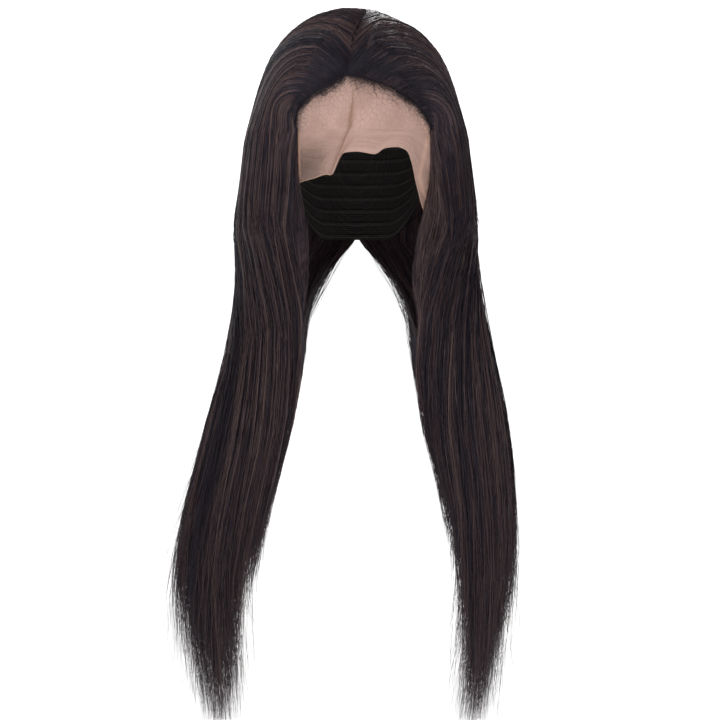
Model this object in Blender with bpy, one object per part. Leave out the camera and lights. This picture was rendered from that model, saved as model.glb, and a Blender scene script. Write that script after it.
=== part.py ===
"""Lace front wig with long straight hair, as it keeps its form on a head.

Metres, +Z up. The origin is the inner top of the cap, where the crown of a head bears.
The face looks along -Y, so the viewer's left is -X. The hair is parted over the forehead and
brought forward over both shoulders. Each half of the hair is one thick sheet that is laid out
by two shares: "across" runs from the strand at the temple (0) to the one down the back (1), and
"along" runs from the root (0) by the widest level of the head (1) and the nape (2) to the
longest ends (3). The sheet is divided into locks, and the locks into sections of the wig.
"""

import math
from collections import namedtuple

import bmesh
import bpy
from mathutils import Vector

# The head that the cap fits
HEAD_WIDTH = 0.156
HEAD_LENGTH = 0.198
CROWN_HEIGHT = 0.100
NAPE_DROP = 0.188
NAPE_TUCK = 0.16

# The cap and the lace
CAP_WALL = 0.0012
LACE_WALL = 0.0010
SEAM_PITCH = 97.0
EAR_ANGLE = 82.0
PIECE_GAP = 0.0004
CREASE_HEIGHT = 0.0028
LACE_RIPPLE = 0.0016

# The hair
HAIR_DROP = 0.612
HAIR_SPREAD = 0.160
CROWN_LIFT = {"left": 0.0134, "right": 0.0088}
PARTING_LIFT = 0.0126
PARTING_REACH = 0.35
SHOULDER_LIFT = 0.0093
SIDE_LIFT = 0.0200
NAPE_FLARE = 0.009
RISE_LENGTH = 0.034
EDGE_LIFT = 0.0065
EDGE_SHARE = 0.12
HAIR_SEAT = 0.0009
GROOVE_DEPTH = 0.0030
PARTING_SHIFT = 0.008
PARTING_GAP = 0.0012
WHORL_SHIFT = 0.007
PARTING_PITCH = 28.5
WHORL_PITCH = 115.0
HAIRLINE_SHARE = 0.3
SPLIT_SHARE = 0.58
TIP_SHARE = 0.16

# The hairline from the temple (0) to the parting (1), turned from straight ahead and raised
# from the widest level as shares of the dome.
HairlineRow = namedtuple("HairlineRow", "share turn_deg height")
HAIRLINE = {
    "left": (
        HairlineRow(0.00, 42.5, 0.05),
        HairlineRow(0.25, 41.0, 0.175),
        HairlineRow(0.50, 35.0, 0.275),
        HairlineRow(0.75, 21.0, 0.375),
    ),
    "right": (
        HairlineRow(0.00, 56.5, 0.03),
        HairlineRow(0.25, 50.5, 0.13),
        HairlineRow(0.50, 41.0, 0.240),
        HairlineRow(0.75, 24.0, 0.355),
    ),
}

# How strongly a strand is swept up and back before it falls, and how much of the full lift it
# has at its root.
SweepRow = namedtuple("SweepRow", "across sweep root_lift")
SWEEP = (
    SweepRow(0.00, 0.00, 0.30),
    SweepRow(0.15, 0.55, 0.18),
    SweepRow(0.30, 1.00, 0.20),
    SweepRow(0.40, 0.88, 0.50),
    SweepRow(0.50, 0.75, 0.82),
    SweepRow(0.62, 0.57, 0.97),
    SweepRow(0.75, 0.35, 1.00),
    SweepRow(1.00, 0.00, 1.00),
)

# Level sections of the hanging hair below the nape. free is the share of the free length,
# across lengths are shares of HAIR_SPREAD and fore-and-aft ones of HEAD_LENGTH. A section is
# an open ring that starts at its inner front edge and ends at its inner back edge, with the
# bore as the space inside it. Straight ahead is 0 degrees and straight outwards is 90.
RingRow = namedtuple("RingRow", "free out back width depth start_deg end_deg bore_width bore_depth")
RINGS = {
    "left": (
        RingRow(0.09, 0.156, 0.010, 0.531, 0.455, 17, 172, 0.360, 0.320),
        RingRow(0.17, 0.306, -0.071, 0.375, 0.384, -3, 184, 0.235, 0.262),
        RingRow(0.25, 0.412, -0.192, 0.306, 0.288, -24, 205, 0.140, 0.150),
        RingRow(0.34, 0.531, -0.308, 0.262, 0.207, -56, 235, 0.075, 0.050),
        RingRow(0.42, 0.594, -0.374, 0.250, 0.167, -72, 252, 0.070, 0.014),
        RingRow(0.50, 0.653, -0.409, 0.243, 0.142, -80, 260, 0.068, 0.009),
        RingRow(0.58, 0.706, -0.424, 0.238, 0.128, -83, 263, 0.062, 0.008),
        RingRow(0.67, 0.751, -0.424, 0.226, 0.114, -84, 264, 0.056, 0.007),
        RingRow(0.75, 0.768, -0.419, 0.196, 0.096, -84, 264, 0.046, 0.006),
        RingRow(0.83, 0.766, -0.414, 0.158, 0.076, -84, 264, 0.036, 0.0055),
        RingRow(0.92, 0.756, -0.409, 0.106, 0.054, -84, 264, 0.024, 0.005),
        RingRow(1.00, 0.746, -0.404, 0.062, 0.036, -84, 264, 0.014, 0.004),
    ),
    "right": (
        RingRow(0.09, 0.156, 0.010, 0.531, 0.455, 23, 172, 0.360, 0.320),
        RingRow(0.17, 0.319, -0.071, 0.394, 0.384, 3, 184, 0.240, 0.262),
        RingRow(0.25, 0.428, -0.192, 0.322, 0.288, -20, 205, 0.140, 0.150),
        RingRow(0.34, 0.540, -0.308, 0.262, 0.207, -55, 235, 0.075, 0.050),
        RingRow(0.42, 0.588, -0.374, 0.244, 0.167, -72, 252, 0.070, 0.014),
        RingRow(0.50, 0.638, -0.409, 0.216, 0.142, -80, 260, 0.068, 0.009),
        RingRow(0.58, 0.660, -0.424, 0.197, 0.128, -83, 263, 0.062, 0.008),
        RingRow(0.67, 0.669, -0.424, 0.180, 0.114, -84, 264, 0.056, 0.007),
        RingRow(0.75, 0.666, -0.419, 0.154, 0.096, -84, 264, 0.046, 0.006),
        RingRow(0.83, 0.649, -0.414, 0.124, 0.076, -84, 264, 0.036, 0.0055),
        RingRow(0.92, 0.622, -0.409, 0.090, 0.054, -84, 264, 0.024, 0.005),
        RingRow(1.00, 0.594, -0.404, 0.058, 0.036, -84, 264, 0.014, 0.004),
    ),
}
LEVEL_STARTS = {"left": (40.0, 41.0, 38.0), "right": (54.0, 57.0, 51.0)}
BACK_END = 179.0

# The locks from the temple to the back: where each ends, as a share of the free length, how
# full it is, and how far its end strays outwards, as a share of HAIR_SPREAD.
LockRow = namedtuple("LockRow", "section ends full stray")
LOCKS = {
    "left": (
        LockRow("front", 0.78, 0.90, -0.10),
        LockRow("front", 0.95, 1.00, -0.02),
        LockRow("front", 1.00, 1.06, 0.00),
        LockRow("crown", 0.98, 0.98, 0.00),
        LockRow("crown", 0.90, 1.05, 0.03),
        LockRow("crown", 0.84, 0.96, 0.04),
        LockRow("back", 0.90, 1.02, 0.01),
        LockRow("back", 0.94, 0.97, 0.00),
        LockRow("back", 0.88, 1.03, -0.01),
        LockRow("back", 0.76, 1.00, -0.04),
    ),
    "right": (
        LockRow("front", 0.77, 0.92, -0.09),
        LockRow("front", 0.97, 1.04, -0.01),
        LockRow("front", 1.00, 0.98, 0.00),
        LockRow("crown", 0.96, 1.05, 0.00),
        LockRow("crown", 0.88, 0.97, 0.02),
        LockRow("crown", 0.82, 1.03, 0.03),
        LockRow("back", 0.86, 0.98, 0.01),
        LockRow("back", 0.92, 1.02, 0.00),
        LockRow("back", 0.85, 0.97, -0.01),
        LockRow("back", 0.74, 1.00, -0.04),
    ),
}
LOCK_COLUMNS = 4
ROOT_STATIONS = (0.0, 0.06, 0.14, 0.25, 0.38, 0.52, 0.66, 0.80, 0.90)
LEVEL_STATIONS = (1.0, 1.33, 1.66, 2.0)
FREE_STATIONS = 8
LOOSE_STATIONS = 6

# The lower edge of the lace as drops in shares of CROWN_HEIGHT, by the angle from straight
# ahead towards the viewer's right.
LaceRow = namedtuple("LaceRow", "turn_deg drop")
LACE_EDGE = (
    LaceRow(-82.0, 1.60),
    LaceRow(-70.0, 1.70),
    LaceRow(-56.0, 1.62),
    LaceRow(-42.0, 1.46),
    LaceRow(-30.0, 1.43),
    LaceRow(-20.0, 1.40),
    LaceRow(-16.5, 1.41),
    LaceRow(-11.5, 1.29),
    LaceRow(-8.0, 1.22),
    LaceRow(0.0, 1.21),
    LaceRow(11.0, 1.23),
    LaceRow(18.0, 1.175),
    LaceRow(27.0, 1.16),
    LaceRow(34.0, 1.19),
    LaceRow(38.0, 1.29),
    LaceRow(43.0, 1.46),
    LaceRow(57.0, 1.69),
    LaceRow(70.0, 1.73),
    LaceRow(82.0, 1.60),
)
CREASE_TOP = 0.32
CREASE_SLANT = -16.5
CREASE_HALF_WIDTH = 4.0
LACE_COLUMNS = (-82, -75, -68, -61, -54, -47, -40, -33, -26, -19, -13, -8, -4, 0,
                4, 8, 12, 17, 22, 28, 34, 38, 42, 46, 52, 58, 66, 74, 82)
LACE_DOME_ROWS = 6
LACE_DROP_ROWS = 5
CAP_COLUMNS = 18
CAP_DOME_ROWS = 6
CAP_DROP_ROWS = 4
CAP_EAR_DROP = 1.10

SIDES = {"left": -1, "right": 1}
COLOURS = {
    "hair": ((0.020, 0.014, 0.014), 0.42),
    "lace": ((0.42, 0.27, 0.19), 0.85),
    "net": ((0.022, 0.018, 0.018), 0.80),
}


def ease(share):
    """Zero below 0 and one above 1, with a smooth start and end."""
    share = min(1.0, max(0.0, share))
    return share * share * (3 - 2 * share)


def read(rows, key, place, column):
    """The value of a column at a place, on a smooth curve that never swings past the rows."""
    places = [getattr(row, key) for row in rows]
    values = [getattr(row, column) for row in rows]
    if place <= places[0]:
        return values[0]
    if place >= places[-1]:
        return values[-1]
    last = len(rows) - 1
    i = max(k for k in range(last) if places[k] <= place)

    def secant(k):
        k = min(max(k, 0), last - 1)
        return (values[k + 1] - values[k]) / (places[k + 1] - places[k])

    def slope(k):
        before, after = secant(k - 1), secant(k)
        if before * after <= 0:
            return 0.0
        return 2 * before * after / (before + after)

    span = places[i + 1] - places[i]
    t = (place - places[i]) / span
    return (
        (1 + 2 * t) * (1 - t) ** 2 * values[i]
        + t * (1 - t) ** 2 * span * slope(i)
        + t * t * (3 - 2 * t) * values[i + 1]
        + t * t * (t - 1) * span * slope(i + 1)
    )


def cap_half(offset):
    """Half axes of the dome that lies this far outside the head, as a vector."""
    return Vector((HEAD_WIDTH / 2 + offset, HEAD_LENGTH / 2 + offset, CROWN_HEIGHT + offset))


def tuck(drop):
    """How much the head has narrowed at a drop below its widest level."""
    share = min(1.0, max(0.0, (drop - CROWN_HEIGHT) / (NAPE_DROP - CROWN_HEIGHT)))
    return 1 - NAPE_TUCK * share * share


def head_point(turn_deg, pitch_deg, drop, offset):
    """A point outside the head, on lines that run over it from ear to ear.

    turn_deg is the angle from the middle towards an ear, and pitch_deg runs from the brow (0)
    over the crown (90) to the back (180). drop is 0 on the dome and is measured below it.
    """
    half = cap_half(offset)
    turn, pitch = math.radians(turn_deg), math.radians(pitch_deg)
    narrow = tuck(CROWN_HEIGHT + drop)
    return Vector((
        half.x * math.sin(turn) * narrow,
        -half.y * math.cos(turn) * math.cos(pitch) * narrow,
        half.z * math.cos(turn) * math.sin(pitch) - CROWN_HEIGHT - drop,
    ))


def clean_object(name, bm, material):
    """An object made of the mesh, with its faces pointing out."""
    bmesh.ops.recalc_face_normals(bm, faces=bm.faces)
    mesh = bpy.data.meshes.new(name)
    bm.to_mesh(mesh)
    bm.free()
    mesh.shade_smooth()
    mesh.set_sharp_from_angle(angle=math.radians(50))
    mesh.materials.append(material)
    made = bpy.data.objects.new(name, mesh)
    bpy.context.scene.collection.objects.link(made)
    return made


def pushed_on(bm, faces, tag, place):
    """Extrudes the faces and moves each new corner to where place puts its number."""
    step = bm.verts.layers.int["step"]
    before = faces[0].verts[0][step]
    edges = dict.fromkeys(edge for face in faces for edge in face.edges)
    made = bmesh.ops.extrude_face_region(bm, geom=[*faces, *edges])["geom"]
    for vertex in made:
        if isinstance(vertex, bmesh.types.BMVert):
            vertex.co = place(vertex[tag])
            vertex[step] = before + 1
    return [face for face in made if isinstance(face, bmesh.types.BMFace)]


def edges_halved(bm, tag, width):
    """Cuts each four-cornered face on the two edges of a strip along the same diagonal."""
    step = bm.verts.layers.int["step"]
    for face in list(bm.faces):
        columns = {vertex[tag] % width for vertex in face.verts}
        steps = {vertex[step] for vertex in face.verts}
        if len(face.verts) != 4 or len(columns) != 1 or len(steps) != 2:
            continue
        ends = (min, max)
        first, last = (
            end(face.verts, key=lambda vertex: (vertex[step], vertex[tag])) for end in ends
        )
        bmesh.utils.face_split(face, first, last)


def sheet_of(columns, rows, point):
    """A bmesh of a grid, its faces and its tag layer. Corners are numbered row by row."""
    bm = bmesh.new()
    bm.verts.layers.int.new("step")
    tag = bm.verts.layers.int.new("corner")
    corners = []
    for number in range((columns + 1) * (rows + 1)):
        vertex = bm.verts.new(point(number))
        vertex[tag] = number
        corners.append(vertex)
    faces = []
    for row in range(rows):
        for column in range(columns):
            first = row * (columns + 1) + column
            ring = (first, first + 1, first + columns + 2, first + columns + 1)
            faces.append(bm.faces.new([corners[k] for k in ring]))
    return bm, faces, tag


def walled(name, columns, rows, point, wall, material):
    """A wall of even thickness whose point function takes a column, a row and an offset."""
    def at(offset):
        return lambda number: point(number % (columns + 1), number // (columns + 1), offset)

    bm, faces, tag = sheet_of(columns, rows, at(0.0))
    pushed_on(bm, faces, tag, at(wall))
    return clean_object(name, bm, material)


def lace_front(material):
    """The sheer lace from ear to ear, with its uncut lower edge, its crease and its ripples."""
    rows = LACE_DOME_ROWS + LACE_DROP_ROWS

    def point(column, row, offset):
        turn = LACE_COLUMNS[column]
        if row <= LACE_DOME_ROWS:
            pitch = (SEAM_PITCH - 0.1) * (1 - row / LACE_DOME_ROWS)
            drop = 0.0
            along = 0.5 * row / LACE_DOME_ROWS
        else:
            pitch = 0.0
            foot = turn + CREASE_SLANT * ease(1 - abs(turn) / 60)
            edge = (read(LACE_EDGE, "turn_deg", foot, "drop") - 1) * CROWN_HEIGHT
            share = (row - LACE_DOME_ROWS) / LACE_DROP_ROWS
            drop = edge * share
            along = 0.5 + 0.5 * share
        reach = max(0.0, (along - CREASE_TOP) / (1 - CREASE_TOP))
        slant = CREASE_SLANT * reach * ease(1 - abs(turn) / 60)
        ridge = max(0.0, 1 - abs(turn) / CREASE_HALF_WIDTH) * CREASE_HEIGHT * ease(reach * 2)
        limit = LEVEL_STARTS["left" if turn < 0 else "right"][-1] - 2
        free = ease((along - 0.5) * 2) * ease((limit - abs(turn + slant)) / 12)
        ripple = LACE_RIPPLE * free * (1 + math.sin(math.radians(turn * 7.5)))
        return head_point(turn + slant, pitch, drop, offset + ridge + ripple)

    return walled("lace_front", len(LACE_COLUMNS) - 1, rows, point, LACE_WALL, material)


def wig_cap(material):
    """The net cap behind the lace, tucked in at the nape and cut round the ears."""
    rows = CAP_DOME_ROWS + CAP_DROP_ROWS

    def point(column, row, offset):
        turn = EAR_ANGLE * (2 * column / CAP_COLUMNS - 1)
        first = SEAM_PITCH + math.degrees(PIECE_GAP / CROWN_HEIGHT) / math.cos(math.radians(turn))
        if row <= CAP_DOME_ROWS:
            pitch = first + (180 - first) * row / CAP_DOME_ROWS
            drop = 0.0
        else:
            pitch = 180.0
            ear = (CAP_EAR_DROP - 1) * CROWN_HEIGHT
            nape = NAPE_DROP - CROWN_HEIGHT
            low = nape + (ear - nape) * ease((abs(turn) - 25) / (EAR_ANGLE - 25))
            drop = low * (row - CAP_DOME_ROWS) / CAP_DROP_ROWS
        return head_point(turn, pitch, drop, offset)

    return walled("wig_cap", CAP_COLUMNS, rows, point, CAP_WALL, material)


def root_direction(side, across):
    """Where on the dome a strand is rooted: the hairline, then the parting to the whorl."""
    sign = SIDES[side]
    shift = (sign * PARTING_GAP / 2 - PARTING_SHIFT) / (HEAD_WIDTH / 2)
    if across < HAIRLINE_SHARE:
        ahead = math.cos(math.radians(PARTING_PITCH))
        parting_turn = sign * math.degrees(math.atan2(shift, ahead))
        end = HairlineRow(1.0, parting_turn, math.sin(math.radians(PARTING_PITCH)))
        rows = HAIRLINE[side] + (end,)
        share = across / HAIRLINE_SHARE
        turn = math.radians(read(rows, "share", share, "turn_deg"))
        height = read(rows, "share", share, "height")
        level = math.sqrt(1 - height * height)
        return Vector((sign * math.sin(turn) * level, -math.cos(turn) * level, height))
    share = (across - HAIRLINE_SHARE) / (1 - HAIRLINE_SHARE)
    pitch = math.radians(PARTING_PITCH + (WHORL_PITCH - PARTING_PITCH) * share)
    whorl = (sign * PARTING_GAP / 2 + WHORL_SHIFT) / (HEAD_WIDTH / 2)
    side_way = whorl + (shift - whorl) * (1 - ease(share * 2))
    return Vector((side_way, -math.cos(pitch), math.sin(pitch))).normalized()


def level_direction(side, across, start_deg, end_deg=BACK_END):
    """The direction from a ring's centre to a strand that crosses a level."""
    turn = math.radians(start_deg + (end_deg - start_deg) * across)
    return Vector((SIDES[side] * math.sin(turn), -math.cos(turn), 0.0))


def path_length(side, across, along):
    """How far a strand has come from its root, in metres, while it is on the cap."""
    first = root_direction(side, across)
    last = level_direction(side, across, LEVEL_STARTS[side][0])
    dome = first.angle(last) * CROWN_HEIGHT * min(along, 1.0)
    return dome + (NAPE_DROP - CROWN_HEIGHT) * max(0.0, along - 1.0)


def fullness(side, across, along):
    """The share of the full thickness that the sheet has: thin at the roots and at its edge."""
    root = read(SWEEP, "across", across, "root_lift")
    rise = root + (1 - root) * ease(path_length(side, across, along) / RISE_LENGTH)
    edge = ease(1 - across / EDGE_SHARE) * ease(2.4 - along)
    thin = EDGE_LIFT / SIDE_LIFT
    return rise * (1 - edge * (1 - thin))


def lock_relief(side, across):
    """How far below its crest the sheet lies here, from 0 on a crest to 1 in a groove."""
    locks = LOCKS[side]
    place = min(across * len(locks), len(locks) - 1e-6)
    lock = locks[int(place)]
    local = 2 * (place - int(place)) - 1
    return local * local, lock.full


def dome_point(side, across, along, depth):
    """A point of the sheet above the widest level. depth is 0 outside and 1 on the cap."""
    root = root_direction(side, across)
    level = level_direction(side, across, LEVEL_STARTS[side][0])
    sweep = read(SWEEP, "across", across, "sweep")
    middle = ((root + level) / 2 + sweep * Vector((0.0, 0.22, 0.42))).normalized()
    line = (1 - along) ** 2 * root + 2 * along * (1 - along) * middle + along ** 2 * level
    line.normalize()
    inner = cap_half(max(CAP_WALL, LACE_WALL) + HAIR_SEAT)
    rise = abs(line.z)
    crown = PARTING_LIFT + (CROWN_LIFT[side] - PARTING_LIFT) * ease(along / PARTING_REACH)
    lift = (
        crown * rise * rise
        + SHOULDER_LIFT * 6.75 * rise * rise * (1 - rise)
        + SIDE_LIFT * (1 - rise) * (1 - rise)
    )
    groove, full = lock_relief(side, across)
    share = fullness(side, across, along)
    thick = lift * share * full - GROOVE_DEPTH * groove * share
    half = inner + Vector((1, 1, 1)) * max(thick, EDGE_LIFT / 3) * (1 - depth)
    return Vector((half.x * line.x, half.y * line.y, half.z * line.z - CROWN_HEIGHT))


Ring = namedtuple("Ring", "along drop out back width depth start_deg end_deg bore_width bore_depth")


def rings(side):
    """All level sections of one half, from the widest level of the head to the ends."""
    inner = cap_half(max(CAP_WALL, LACE_WALL) + HAIR_SEAT)
    made = []
    for number, start in enumerate(LEVEL_STARTS[side]):
        share = number / (len(LEVEL_STARTS[side]) - 1)
        drop = CROWN_HEIGHT + (NAPE_DROP - CROWN_HEIGHT) * share
        flare = NAPE_FLARE * ease(share)
        made.append(Ring(
            1 + share, drop, 0.0, 0.0,
            inner.x + SIDE_LIFT + flare, inner.y + SIDE_LIFT - flare * share,
            start, BACK_END - 3 * share, inner.x * tuck(drop), inner.y * tuck(drop),
        ))
    for row in RINGS[side]:
        made.append(Ring(
            2 + row.free, NAPE_DROP + (HAIR_DROP - NAPE_DROP) * row.free,
            row.out * HAIR_SPREAD, row.back * HEAD_LENGTH,
            row.width * HAIR_SPREAD, row.depth * HEAD_LENGTH, row.start_deg, row.end_deg,
            row.bore_width * HAIR_SPREAD, row.bore_depth * HEAD_LENGTH,
        ))
    return made


def hanging_point(side, across, along, depth):
    """A point of the sheet below the widest level."""
    rows = rings(side)
    at = {name: read(rows, "along", along, name) for name in Ring._fields[1:]}
    way = level_direction(side, across, at["start_deg"], at["end_deg"])
    groove, full = lock_relief(side, across)
    narrow = min(1.0, at["depth"] / (2 * SIDE_LIFT))
    thin = GROOVE_DEPTH * narrow * groove + (1 - full) * SIDE_LIFT * 0.5 * narrow
    share = fullness(side, across, along)
    width = at["bore_width"] + (at["width"] - at["bore_width"] - thin) * share * (1 - depth)
    deep = at["bore_depth"] + (at["depth"] - at["bore_depth"] - thin) * share * (1 - depth)
    return Vector((
        SIDES[side] * at["out"] + width * way.x,
        at["back"] + deep * way.y,
        -at["drop"],
    ))


def sheet_point(side, across, along, depth):
    """A point of one half of the hair, by its three shares."""
    if along < 1:
        return dome_point(side, across, along, depth)
    return hanging_point(side, across, along, depth)


def kept_apart(side, across, towards, along, depth, gap):
    """The point moved from its place towards another share by a distance in metres."""
    here = sheet_point(side, across, along, depth)
    there = sheet_point(side, across + 0.01 * towards, along, depth)
    way = there - here
    return here + way.normalized() * gap


def hair_section(side, section, material):
    """One section of one half: its locks are one body down to the split, then hang apart."""
    locks = LOCKS[side]
    mine = [k for k, row in enumerate(locks) if row.section == section]
    columns = len(mine) * LOCK_COLUMNS
    per_lock = 1 / len(locks)
    bottom = 2 + SPLIT_SHARE

    def across_of(column):
        return (mine[0] + column / LOCK_COLUMNS) * per_lock

    def station(along):
        def place(number):
            column, depth = number % (columns + 1), number // (columns + 1)
            across = across_of(column)
            if column == 0:
                return kept_apart(side, across, 1, along, depth, PIECE_GAP / 2)
            if column == columns:
                return kept_apart(side, across, -1, along, depth, PIECE_GAP / 2)
            return sheet_point(side, across, along, depth)
        return place

    def loose_station(position, share):
        """A station of one lock past the split, narrowed towards its own middle."""
        row = locks[mine[position]]
        along = bottom + (2 + row.ends - bottom) * share
        middle = (mine[position] + 0.5) * per_lock
        keep = 1 - (1 - TIP_SHARE) * ease(share) ** 0.8
        stray = SIDES[side] * row.stray * HAIR_SPREAD * share * share

        def place(number):
            column, depth = number % (columns + 1), number // (columns + 1)
            local = column - position * LOCK_COLUMNS
            inset = 0.0
            if local in (0, LOCK_COLUMNS):
                inset = PIECE_GAP / 2
            across = middle + (across_of(column) - middle) * keep
            deep = 0.4 + (depth - 0.4) * keep
            point = kept_apart(side, across, 1 if local == 0 else -1, along, deep, inset)
            return point + Vector((stray, 0.0, 0.0))
        return place

    bm, faces, tag = sheet_of(columns, 1, station(ROOT_STATIONS[0]))
    free = [2 + SPLIT_SHARE * k / FREE_STATIONS for k in range(1, FREE_STATIONS + 1)]
    for along in (*ROOT_STATIONS[1:], *LEVEL_STATIONS, *free):
        faces = pushed_on(bm, faces, tag, station(along))
    strips = {position: [] for position in range(len(mine))}
    for face in faces:
        low = min(vertex[tag] % (columns + 1) for vertex in face.verts)
        strips[low // LOCK_COLUMNS].append(face)
    for position, strip in strips.items():
        for step in range(1, LOOSE_STATIONS + 1):
            strip = pushed_on(bm, strip, tag, loose_station(position, step / LOOSE_STATIONS))
    edges_halved(bm, tag, columns + 1)
    return clean_object(f"{section}_hair_{side}", bm, material)


def finish_of(name):
    """A plain material with the colour and roughness of one finish."""
    colour, roughness = COLOURS[name]
    material = bpy.data.materials.new(name)
    material.use_nodes = True
    shader = material.node_tree.nodes["Principled BSDF"]
    shader.inputs["Base Color"].default_value = (*colour, 1.0)
    shader.inputs["Roughness"].default_value = roughness
    shader.inputs["Metallic"].default_value = 0.0
    return material


def main():
    for old in list(bpy.data.objects):
        bpy.data.objects.remove(old)
    hair, lace, net = (finish_of(name) for name in ("hair", "lace", "net"))
    lace_front(lace)
    wig_cap(net)
    for side in SIDES:
        for section in ("front", "crown", "back"):
            hair_section(side, section, hair)


main()
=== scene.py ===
"""Lace front wig: strands, lace, net cap, light and camera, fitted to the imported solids."""

from __future__ import annotations

import logging
import math
from dataclasses import dataclass
from enum import Enum
from typing import Any, Callable, NamedTuple

import bmesh
import bpy
import numpy as np
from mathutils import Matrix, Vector

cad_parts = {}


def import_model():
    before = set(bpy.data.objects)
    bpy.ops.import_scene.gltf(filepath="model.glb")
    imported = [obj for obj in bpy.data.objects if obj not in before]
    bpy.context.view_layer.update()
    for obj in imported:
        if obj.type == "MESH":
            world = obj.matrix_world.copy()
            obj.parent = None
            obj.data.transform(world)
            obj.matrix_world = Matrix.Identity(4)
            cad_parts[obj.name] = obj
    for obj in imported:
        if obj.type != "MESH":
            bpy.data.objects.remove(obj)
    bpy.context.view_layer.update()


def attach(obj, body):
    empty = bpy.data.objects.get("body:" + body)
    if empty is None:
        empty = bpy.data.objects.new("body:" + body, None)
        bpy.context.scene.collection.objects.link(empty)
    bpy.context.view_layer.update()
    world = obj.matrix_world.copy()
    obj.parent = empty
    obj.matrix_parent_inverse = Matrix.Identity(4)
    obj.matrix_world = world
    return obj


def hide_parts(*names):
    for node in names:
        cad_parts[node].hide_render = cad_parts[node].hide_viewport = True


logging.basicConfig(level=logging.INFO, format="%(message)s")
LOG = logging.getLogger("wig")

Points = np.ndarray
Spot = tuple[float, float, float]
Colour = tuple[float, float, float, float]
WHITE: Colour = (1.0, 1.0, 1.0, 1.0)


class Side(Enum):
    """The half of the hair, with the sign of its X."""

    LEFT = -1
    RIGHT = 1

    @property
    def word(self) -> str:
        """The side's name as it stands in the names of the pieces."""
        return self.name.lower()


class Section(Enum):
    """The sections of one half, with the first and last of its locks."""

    FRONT = (0, 2)
    CROWN = (3, 5)
    BACK = (6, 9)


class Curve:
    """A smooth curve through the rows of a table that never swings past them."""

    def __init__(self, places: list[float], values: list[float]) -> None:
        """Works out the slope at each row.

        Args:
            places: Where the rows lie, in rising order.
            values: The value of each row.
        """
        self.places = np.array(places, float)
        self.values = np.array(values, float)
        secant = np.diff(self.values) / np.diff(self.places)
        before = np.concatenate([secant[:1], secant])
        after = np.concatenate([secant, secant[-1:]])
        total = np.where(before + after == 0, 1.0, before + after)
        self.slope = np.where(before * after > 0, 2 * before * after / total, 0.0)

    def __call__(self, place: Points) -> Points:
        """The curve's values.

        Args:
            place: Where to read it.

        Returns:
            One value for each place.
        """
        place = np.clip(place, self.places[0], self.places[-1])
        i = np.searchsorted(self.places, place, side="right") - 1
        i = np.clip(i, 0, len(self.places) - 2)
        span = self.places[i + 1] - self.places[i]
        t = (place - self.places[i]) / span
        return (
            (1 + 2 * t) * (1 - t) ** 2 * self.values[i]
            + t * (1 - t) ** 2 * span * self.slope[i]
            + t * t * (3 - 2 * t) * self.values[i + 1]
            + t * t * (t - 1) * span * self.slope[i + 1]
        )


def ease(share: Points) -> Points:
    """Zero below 0 and one above 1, with a smooth start and end."""
    share = np.clip(share, 0.0, 1.0)
    return share * share * (3 - 2 * share)


def unit(vectors: Points) -> Points:
    """The vectors at length 1."""
    length = np.linalg.norm(vectors, axis=-1, keepdims=True)
    return vectors / np.maximum(length, 1e-12)


@dataclass(frozen=True)
class HeadForm:
    """The head that the cap fits, and the walls on it, in metres."""

    width: float = 0.156
    length: float = 0.198
    crown: float = 0.100
    nape: float = 0.188
    nape_tuck: float = 0.16
    cap_wall: float = 0.0012
    lace_wall: float = 0.0010
    seam_pitch: float = 97.0

    def half(self, offset: Points) -> Points:
        """Half axes of the dome that lies some way outside the head.

        Args:
            offset: How far outside, for each point.

        Returns:
            Three half axes for each point.
        """
        offset = np.asarray(offset, float)
        axes = (self.width / 2, self.length / 2, self.crown)
        return np.stack([axis + offset for axis in axes], axis=-1)

    def tuck(self, drop: Points) -> Points:
        """How much the head has narrowed at a drop from the crown."""
        share = np.clip((drop - self.crown) / (self.nape - self.crown), 0.0, 1.0)
        return 1 - self.nape_tuck * share * share

    def point(self, turn_deg: Points, pitch_deg: Points, drop: Points, offset: Points) -> Points:
        """Points on lines that run over the head from ear to ear.

        Args:
            turn_deg: The angle from the middle towards an ear.
            pitch_deg: From the brow (0) over the crown (90) to the back (180).
            drop: How far below the widest level.
            offset: How far outside the head.

        Returns:
            A point for each place.
        """
        half = self.half(offset)
        turn = np.radians(turn_deg)
        pitch = np.radians(pitch_deg)
        narrow = self.tuck(self.crown + drop)
        return np.stack([
            half[..., 0] * np.sin(turn) * narrow,
            -half[..., 1] * np.cos(turn) * np.cos(pitch) * narrow,
            half[..., 2] * np.cos(turn) * np.sin(pitch) - self.crown - drop,
        ], axis=-1)

    def over(self, line: Points, raised: Points) -> Points:
        """Points over the head.

        Args:
            line: Directions from the dome's centre.
            raised: How far outside the head each lies.

        Returns:
            The points.
        """
        return self.half(raised) * line - np.array([0.0, 0.0, self.crown])


HEAD = HeadForm()


class SideRow(NamedTuple):
    """What differs between the two halves of the hair, in metres where it is a length."""

    crown_lift: float
    arch_start: float
    # arch_shine is the strength of a painted highlight along the arch over the hairline.
    arch_shine: float
    widest: float
    push_share: float
    crown_strands: int
    crown_reach: tuple[float, float]


class HairlineRow(NamedTuple):
    """A point of the hairline from the temple (0) to the parting (1)."""

    share: float
    turn_deg: float
    height: float


class SweepRow(NamedTuple):
    """How a strand leaves its root: swept back, and with a share of the full lift."""

    across: float
    sweep: float
    root_lift: float


class RingRow(NamedTuple):
    """A level section of the hanging hair, in shares of its spread and of the head."""

    free: float
    out: float
    back: float
    width: float
    depth: float
    start_deg: float
    end_deg: float
    bore_width: float
    bore_depth: float


class LockRow(NamedTuple):
    """Where a lock ends, as a share of the free length, and how far its end strays."""

    ends: float
    stray: float


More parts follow.
